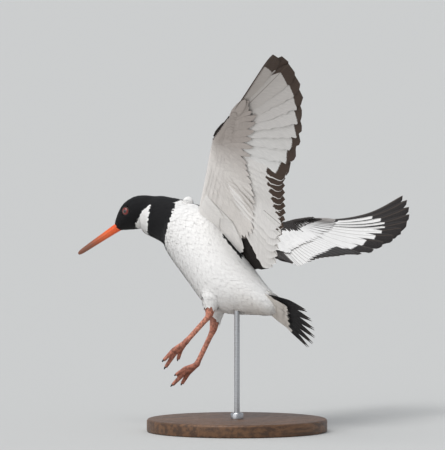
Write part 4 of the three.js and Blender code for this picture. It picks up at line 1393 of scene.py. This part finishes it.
# %% Stand
def turned(name, profile, steps):
    """Solid turned from a profile of radius and height in metres, from the axis back to the axis."""
    shaper = bmesh.new()
    line = [shaper.verts.new((radius, 0.0, height)) for radius, height in profile]
    edges = [shaper.edges.new(pair) for pair in zip(line, line[1:])]
    bmesh.ops.spin(shaper, geom=line + edges, axis=(0, 0, 1), cent=(0, 0, 0), steps=steps,
                   angle=2 * math.pi, use_merge=True)
    bmesh.ops.remove_doubles(shaper, verts=shaper.verts, dist=1e-6)
    bmesh.ops.recalc_face_normals(shaper, faces=shaper.faces)
    return smooth_faces(new_piece(name, shaper), 35.0)


BASE_RADIUS, BASE_HEIGHT, BASE_ROUND = 0.112, 0.016, 0.003
ROD_RADIUS, ROD_TOP, ROD_FOOT = 0.0035, 0.164, 0.0163
base_profile = [(0, 0), (BASE_RADIUS - 0.0025, 0), (BASE_RADIUS - 0.0005, 0.0008), (BASE_RADIUS, 0.002)]
for angle in np.linspace(0, math.pi / 2, 7):
    base_profile.append((BASE_RADIUS - BASE_ROUND * (1 - math.cos(angle)),
                         BASE_HEIGHT - BASE_ROUND * (1 - math.sin(angle))))
base_profile.append((0, BASE_HEIGHT))
rod_profile = [(0, ROD_FOOT), (0.008, ROD_FOOT), (0.008, 0.0213), (0.0077, 0.0225), (0.0068, 0.0233),
               (ROD_RADIUS, 0.0233), (ROD_RADIUS, ROD_TOP), (0, ROD_TOP)]
pieces["stand_base_wood"] = turned("stand_base_wood", base_profile, 128)
pieces["stand_rod_steel"] = turned("stand_rod_steel", rod_profile, 40)
print("base radius m:", BASE_RADIUS)

# %% [markdown]
# Feathers share one effect: the barbs that run out from the shaft at a slant. A small node group
# will make them from the millimetres across and along that each corner carries, with a shade for
# the colour and a height for the bump. First come short helpers, as every finish is a few nodes
# with the same kinds of link.

# %% Shader helpers
def node(tree, kind, values=(), **settings):
    """A node with its settings, and its inputs linked or set in order."""
    made = tree.nodes.new(kind)
    for key, value in settings.items():
        setattr(made, key, value)
    for key, value in (values.items() if isinstance(values, dict) else enumerate(values)):
        if value is None:
            continue
        if hasattr(value, "is_output"):
            tree.links.new(value, made.inputs[key])
        else:
            made.inputs[key].default_value = value
    return made


def math_node(tree, operation, *values):
    return node(tree, "ShaderNodeMath", values, operation=operation).outputs[0]


def ranged(tree, value, low, high, to_low=0.0, to_high=1.0):
    """A value eased from one range to another."""
    return node(tree, "ShaderNodeMapRange", [value, low, high, to_low, to_high],
                interpolation_type="SMOOTHSTEP").outputs[0]


def mixed(tree, share, a, b):
    """Two colours mixed by a share."""
    made = tree.nodes.new("ShaderNodeMix")
    made.data_type = "RGBA"
    for socket, value in ((made.inputs[0], share), (made.inputs[6], a), (made.inputs[7], b)):
        if hasattr(value, "is_output"):
            tree.links.new(value, socket)
        else:
            socket.default_value = value
    return made.outputs[2]


def scaled(tree, color, share):
    """A colour made lighter or darker by a share."""
    return node(tree, "ShaderNodeVectorMath", {0: color, "Scale": share}, operation="SCALE").outputs[0]


def attribute(tree, name):
    return node(tree, "ShaderNodeAttribute", attribute_name=name)


def noise(tree, scale, detail, stretch=None):
    """Noise on the piece's own coordinates, drawn out along an axis where a stretch is given."""
    place = node(tree, "ShaderNodeTexCoord").outputs["Object"]
    if stretch:
        place = node(tree, "ShaderNodeMapping", {"Vector": place, "Scale": stretch}).outputs[0]
    return node(tree, "ShaderNodeTexNoise", {"Vector": place, "Scale": scale, "Detail": detail}).outputs[0]


def raised(tree, shader, height, strength, distance):
    """Bump on a shader from a height."""
    values = {"Strength": strength, "Distance": distance, "Height": height}
    tree.links.new(node(tree, "ShaderNodeBump", values).outputs[0], shader.inputs["Normal"])


print("shader helpers ready")

# %% [markdown]
# Inside the group, barbs are a wave across the slanted distance from the shaft, and a noise drawn
# out along them breaks the wave up. The spacing is an input, because barbs on a primary stand
# further apart than on a breast feather.

# %% Barbs, a shared effect
BARB_SLANT = 1.15

barbs = bpy.data.node_groups.new("barbs", "ShaderNodeTree")
barbs.interface.new_socket("Web", in_out="INPUT", socket_type="NodeSocketVector")
barbs.interface.new_socket("Spacing", in_out="INPUT", socket_type="NodeSocketFloat")
barbs.interface.new_socket("Shade", in_out="OUTPUT", socket_type="NodeSocketFloat")
barbs.interface.new_socket("Height", in_out="OUTPUT", socket_type="NodeSocketFloat")
web_in, parts_out = barbs.nodes.new("NodeGroupInput"), barbs.nodes.new("NodeGroupOutput")
split = node(barbs, "ShaderNodeSeparateXYZ", [web_in.outputs["Web"]])
aside = math_node(barbs, "ABSOLUTE", split.outputs[0])
slanted = math_node(barbs, "SUBTRACT", split.outputs[1], math_node(barbs, "MULTIPLY", aside, BARB_SLANT))
turns = math_node(barbs, "DIVIDE", slanted, web_in.outputs["Spacing"])
wave = math_node(barbs, "SINE", math_node(barbs, "MULTIPLY", turns, 2 * math.pi))
grain_along = math_node(barbs, "MULTIPLY", slanted, 1.1)
grain_across = math_node(barbs, "MULTIPLY", split.outputs[0], 0.18)
grain_place = node(barbs, "ShaderNodeCombineXYZ", [grain_along, grain_across, 0.0]).outputs[0]
grain = node(barbs, "ShaderNodeTexNoise", {"Vector": grain_place, "Scale": 0.7, "Detail": 3.0}).outputs[0]
barbs.links.new(ranged(barbs, grain, 0.25, 0.75, 0.90, 1.04), parts_out.inputs["Shade"])
ribbed = math_node(barbs, "ADD", math_node(barbs, "MULTIPLY", wave, 0.4), grain)
barbs.links.new(ribbed, parts_out.inputs["Height"])
print("barbs group:", len(barbs.nodes), "nodes")

# %% [markdown]
# One function makes the finish of every feather. It mixes the feather's own pale and dark colours
# by how deep a place lies in the dark marking, roughens that edge with the barbs' shade, and can
# draw a brown shaft. Body feathers have no visible shaft; flight feathers have a strong one.

# %% Feather finishes
SHAFT_BROWN = srgb(96, 82, 70)


def feather_finish(name, roughness, spacing, bump, ragged, shaft):
    """Colour from the feather's own pale and dark, split by the depth into its marking."""
    made, tree, shader = new_material(name, roughness)
    shader.inputs["Specular IOR Level"].default_value = 0.2
    shader.inputs["Sheen Weight"].default_value = 0.04
    shader.inputs["Sheen Roughness"].default_value = 0.5
    web = attribute(tree, "web").outputs["Vector"]
    group = node(tree, "ShaderNodeGroup", node_tree=barbs)
    tree.links.new(web, group.inputs["Web"])
    group.inputs["Spacing"].default_value = spacing
    split = node(tree, "ShaderNodeSeparateXYZ", [web])
    wobble = math_node(tree, "MULTIPLY", math_node(tree, "SUBTRACT", group.outputs["Shade"], 0.97), ragged)
    inside_mark = ranged(tree, math_node(tree, "ADD", split.outputs[2], wobble), -0.5, 0.5)
    pale, deep = attribute(tree, "pale").outputs["Color"], attribute(tree, "deep").outputs["Color"]
    color = mixed(tree, inside_mark, pale, deep)
    if shaft > 0:
        on_shaft = ranged(tree, math_node(tree, "ABSOLUTE", split.outputs[0]), shaft, shaft * 0.6)
        color = mixed(tree, math_node(tree, "MULTIPLY", on_shaft, 0.55), color, SHAFT_BROWN)
    tree.links.new(scaled(tree, color, group.outputs["Shade"]), shader.inputs["Base Color"])
    raised(tree, shader, group.outputs["Height"], bump, 0.0003)
    return made


body_finish = feather_finish("body_plumage", 0.7, 0.6, 0.35, 4.0, 0.0)
covert_finish = feather_finish("covert_plumage", 0.65, 0.7, 0.3, 4.0, 0.0)
flight_finish = feather_finish("flight_plumage", 0.55, 0.9, 0.4, 16.0, 0.55)
print("feather finishes: 3")

# %% [markdown]
# The skin's finish shows on the legs alone. Its colour comes from the skin's own tone, darkened by
# a mottle and by painted shade in the creases between the scutes, the plates across a wader's shank
# and toes. The same values raise the surface a little, so the scutes catch the light.

# %% Skin and legs
SCUTE_SPACING = 2.1

skin_finish, tree, shader = new_material("skin_and_legs", 0.6)
scute = node(tree, "ShaderNodeSeparateXYZ", [attribute(tree, "scute").outputs["Vector"]])
bands = math_node(tree, "SINE", math_node(tree, "MULTIPLY", scute.outputs[0], 2 * math.pi / SCUTE_SPACING))
ridge = math_node(tree, "MULTIPLY", math_node(tree, "ABSOLUTE", bands), scute.outputs[1])
off_leg = math_node(tree, "SUBTRACT", 1.0, scute.outputs[1])
# Painted shade in the creases between the scutes: colour falls to 72% where the bands cross zero.
crease_shade = ranged(tree, math_node(tree, "ADD", ridge, off_leg), 0.0, 0.35, 0.72, 1.0)
mottle = noise(tree, 330.0, 6.0)
shade = math_node(tree, "MULTIPLY", ranged(tree, mottle, 0.38, 0.6, 0.58, 1.1), crease_shade)
tree.links.new(scaled(tree, attribute(tree, "tone").outputs["Color"], shade), shader.inputs["Base Color"])
raised(tree, shader, math_node(tree, "ADD", ridge, math_node(tree, "MULTIPLY", mottle, 0.4)), 0.6, 0.0005)
print("skin finish:", len(tree.nodes), "nodes")

# %% [markdown]
# Bill and claws are horn, the bill bright at its base and duller towards the tip. The eye is glossy
# and gets its pupil and iris from the angle off its axis, and its ring is warty bare skin. Each has
# a fine noise at its own scale, because a single flat colour never looks like a living surface.

# %% Horn, eyes and eye rings
bill_finish, tree, shader = new_material("bill_horn", 0.38)
shader.inputs["Coat Weight"].default_value = 0.15
reach = attribute(tree, "reach").outputs["Fac"]
streaks = noise(tree, 420.0, 5.0)
duller = math_node(tree, "ADD", reach, math_node(tree, "MULTIPLY", streaks, 0.3))
color = mixed(tree, ranged(tree, reach, 0.0, 0.4), srgb(232, 88, 30), srgb(226, 98, 38))
color = mixed(tree, ranged(tree, duller, 0.35, 0.95), color, srgb(128, 78, 56))
streaked = scaled(tree, color, ranged(tree, streaks, 0.3, 0.7, 0.9, 1.06))
tree.links.new(streaked, shader.inputs["Base Color"])
raised(tree, shader, streaks, 0.25, 0.0004)

eye_finish, tree, shader = new_material("eye_gloss", 0.06)
shader.inputs["Coat Weight"].default_value = 1.0
off_axis = attribute(tree, "off_axis").outputs["Fac"]
iris = mixed(tree, noise(tree, 1800.0, 3.0), srgb(140, 28, 18), srgb(84, 12, 10))
color = mixed(tree, ranged(tree, off_axis, 24.0, 26.0), srgb(6, 5, 6), iris)
color = mixed(tree, ranged(tree, off_axis, 47.0, 54.0), color, srgb(60, 10, 6))
tree.links.new(color, shader.inputs["Base Color"])


def grained(name, roughness, scale, detail, one, other, bump, distance):
    """Finish of two colours mixed by a fine noise that also raises the surface."""
    made, tree, shader = new_material(name, roughness)
    grain = noise(tree, scale, detail)
    tree.links.new(mixed(tree, grain, one, other), shader.inputs["Base Color"])
    raised(tree, shader, grain, bump, distance)
    return made


ring_finish = grained("eye_ring_skin", 0.5, 1500.0, 3.0, srgb(150, 48, 28), srgb(108, 26, 18), 0.5, 0.0003)
horn_finish = grained("dark_horn", 0.45, 900.0, 4.0, srgb(30, 25, 24), srgb(62, 48, 42), 0.3, 0.0002)
print("materials:", len(bpy.data.materials))

# %% [markdown]
# The stand is oiled oak and brushed steel. Both are noises stretched one way: along the boards for
# the oak, whose pores darken it and roughen it, and round the rod for the marks of the brush.

# %% Stand finishes
wood_finish, tree, shader = new_material("oiled_oak", 0.45)
along_grain = (1.0, 14.0, 14.0)
figure, pores = noise(tree, 14.0, 6.0, along_grain), noise(tree, 90.0, 4.0, along_grain)
color = mixed(tree, ranged(tree, figure, 0.35, 0.65), srgb(74, 50, 32), srgb(112, 78, 50))
tree.links.new(scaled(tree, color, ranged(tree, pores, 0.3, 0.6, 0.75, 1.0)), shader.inputs["Base Color"])
tree.links.new(ranged(tree, pores, 0.3, 0.7, 0.6, 0.38), shader.inputs["Roughness"])
raised(tree, shader, pores, 0.25, 0.0004)

steel_finish, tree, shader = new_material("brushed_steel", 0.3)
shader.inputs["Metallic"].default_value = 1.0
brush = noise(tree, 60.0, 4.0, (1.0, 1.0, 60.0))
tree.links.new(mixed(tree, brush, srgb(168, 170, 173), srgb(200, 201, 203)), shader.inputs["Base Color"])
tree.links.new(ranged(tree, brush, 0.3, 0.7, 0.24, 0.40), shader.inputs["Roughness"])
print("materials:", len(bpy.data.materials))

# %% [markdown]
# Last, each piece gets its finish, the body it rides on and the solids it stands in for. Everything
# on a still model rides on one body.

# %% Finish and ride
FITTINGS = {
    "skin": (skin_finish, "white_plumage", FLESH),
    "feathers_head": (body_finish, "black_plumage", []),
    "feathers_neck": (body_finish, "black_plumage", []),
    "feathers_breast": (body_finish, "white_plumage", []),
    "feathers_belly": (body_finish, "white_plumage", []),
    "shoulder_ruff": (body_finish, "white_plumage", []),
    "tail_fan": (flight_finish, "flight_feathers", ["tail_feathers"]),
    "tail_coverts": (covert_finish, "white_plumage", []),
    "bill_upper_horn": (bill_finish, "bill_horn", ["bill_upper"]),
    "bill_lower_horn": (bill_finish, "bill_horn", ["bill_lower"]),
    "claw_horns": (horn_finish, "claw_horn", [f"leg_{side}_claw_{toe}" for side in ("left", "right")
                                              for toe in ("inner", "middle", "outer")]),
    "stand_base_wood": (wood_finish, "stand_wood", ["stand_base"]),
    "stand_rod_steel": (steel_finish, "stand_steel", ["stand_rod"]),
}
for side in WINGS:
    for kind in FANS:
        FITTINGS[f"{kind}_{side}"] = (flight_finish, "flight_feathers", [f"wing_{side}_{kind}"])
    FITTINGS[f"alula_{side}"] = (flight_finish, "flight_feathers", [f"wing_{side}_alula"])
    FITTINGS[f"coverts_{side}_upper"] = (covert_finish, "black_plumage", [])
    FITTINGS[f"coverts_{side}_under"] = (covert_finish, "white_plumage", [])
    FITTINGS[f"scapulars_{side}"] = (covert_finish, "black_plumage", [])
    FITTINGS[f"axillaries_{side}"] = (covert_finish, "white_plumage", [])
    FITTINGS[f"eyeball_{side}"] = (eye_finish, "eye_gloss", [f"eye_{side}"])
    FITTINGS[f"eye_ring_{side}"] = (ring_finish, "bare_legs", [])
    FITTINGS[f"eyelid_{side}"] = (horn_finish, "black_plumage", [])
pieces["skin"] = skin
MOST_TRIANGLES = 199000
total = 0
for name, piece in pieces.items():
    finish, slot_name, nodes = FITTINGS[name]
    piece.data.materials.clear()
    piece.data.materials.append(finish)
    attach(piece, "root")
    if nodes:
        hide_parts(*nodes)
    triangles = sum(len(p.vertices) - 2 for p in piece.data.polygons)
    total += triangles
    if triangles > MOST_TRIANGLES:
        print("too many triangles:", name, triangles)
print("triangles in all:", total)
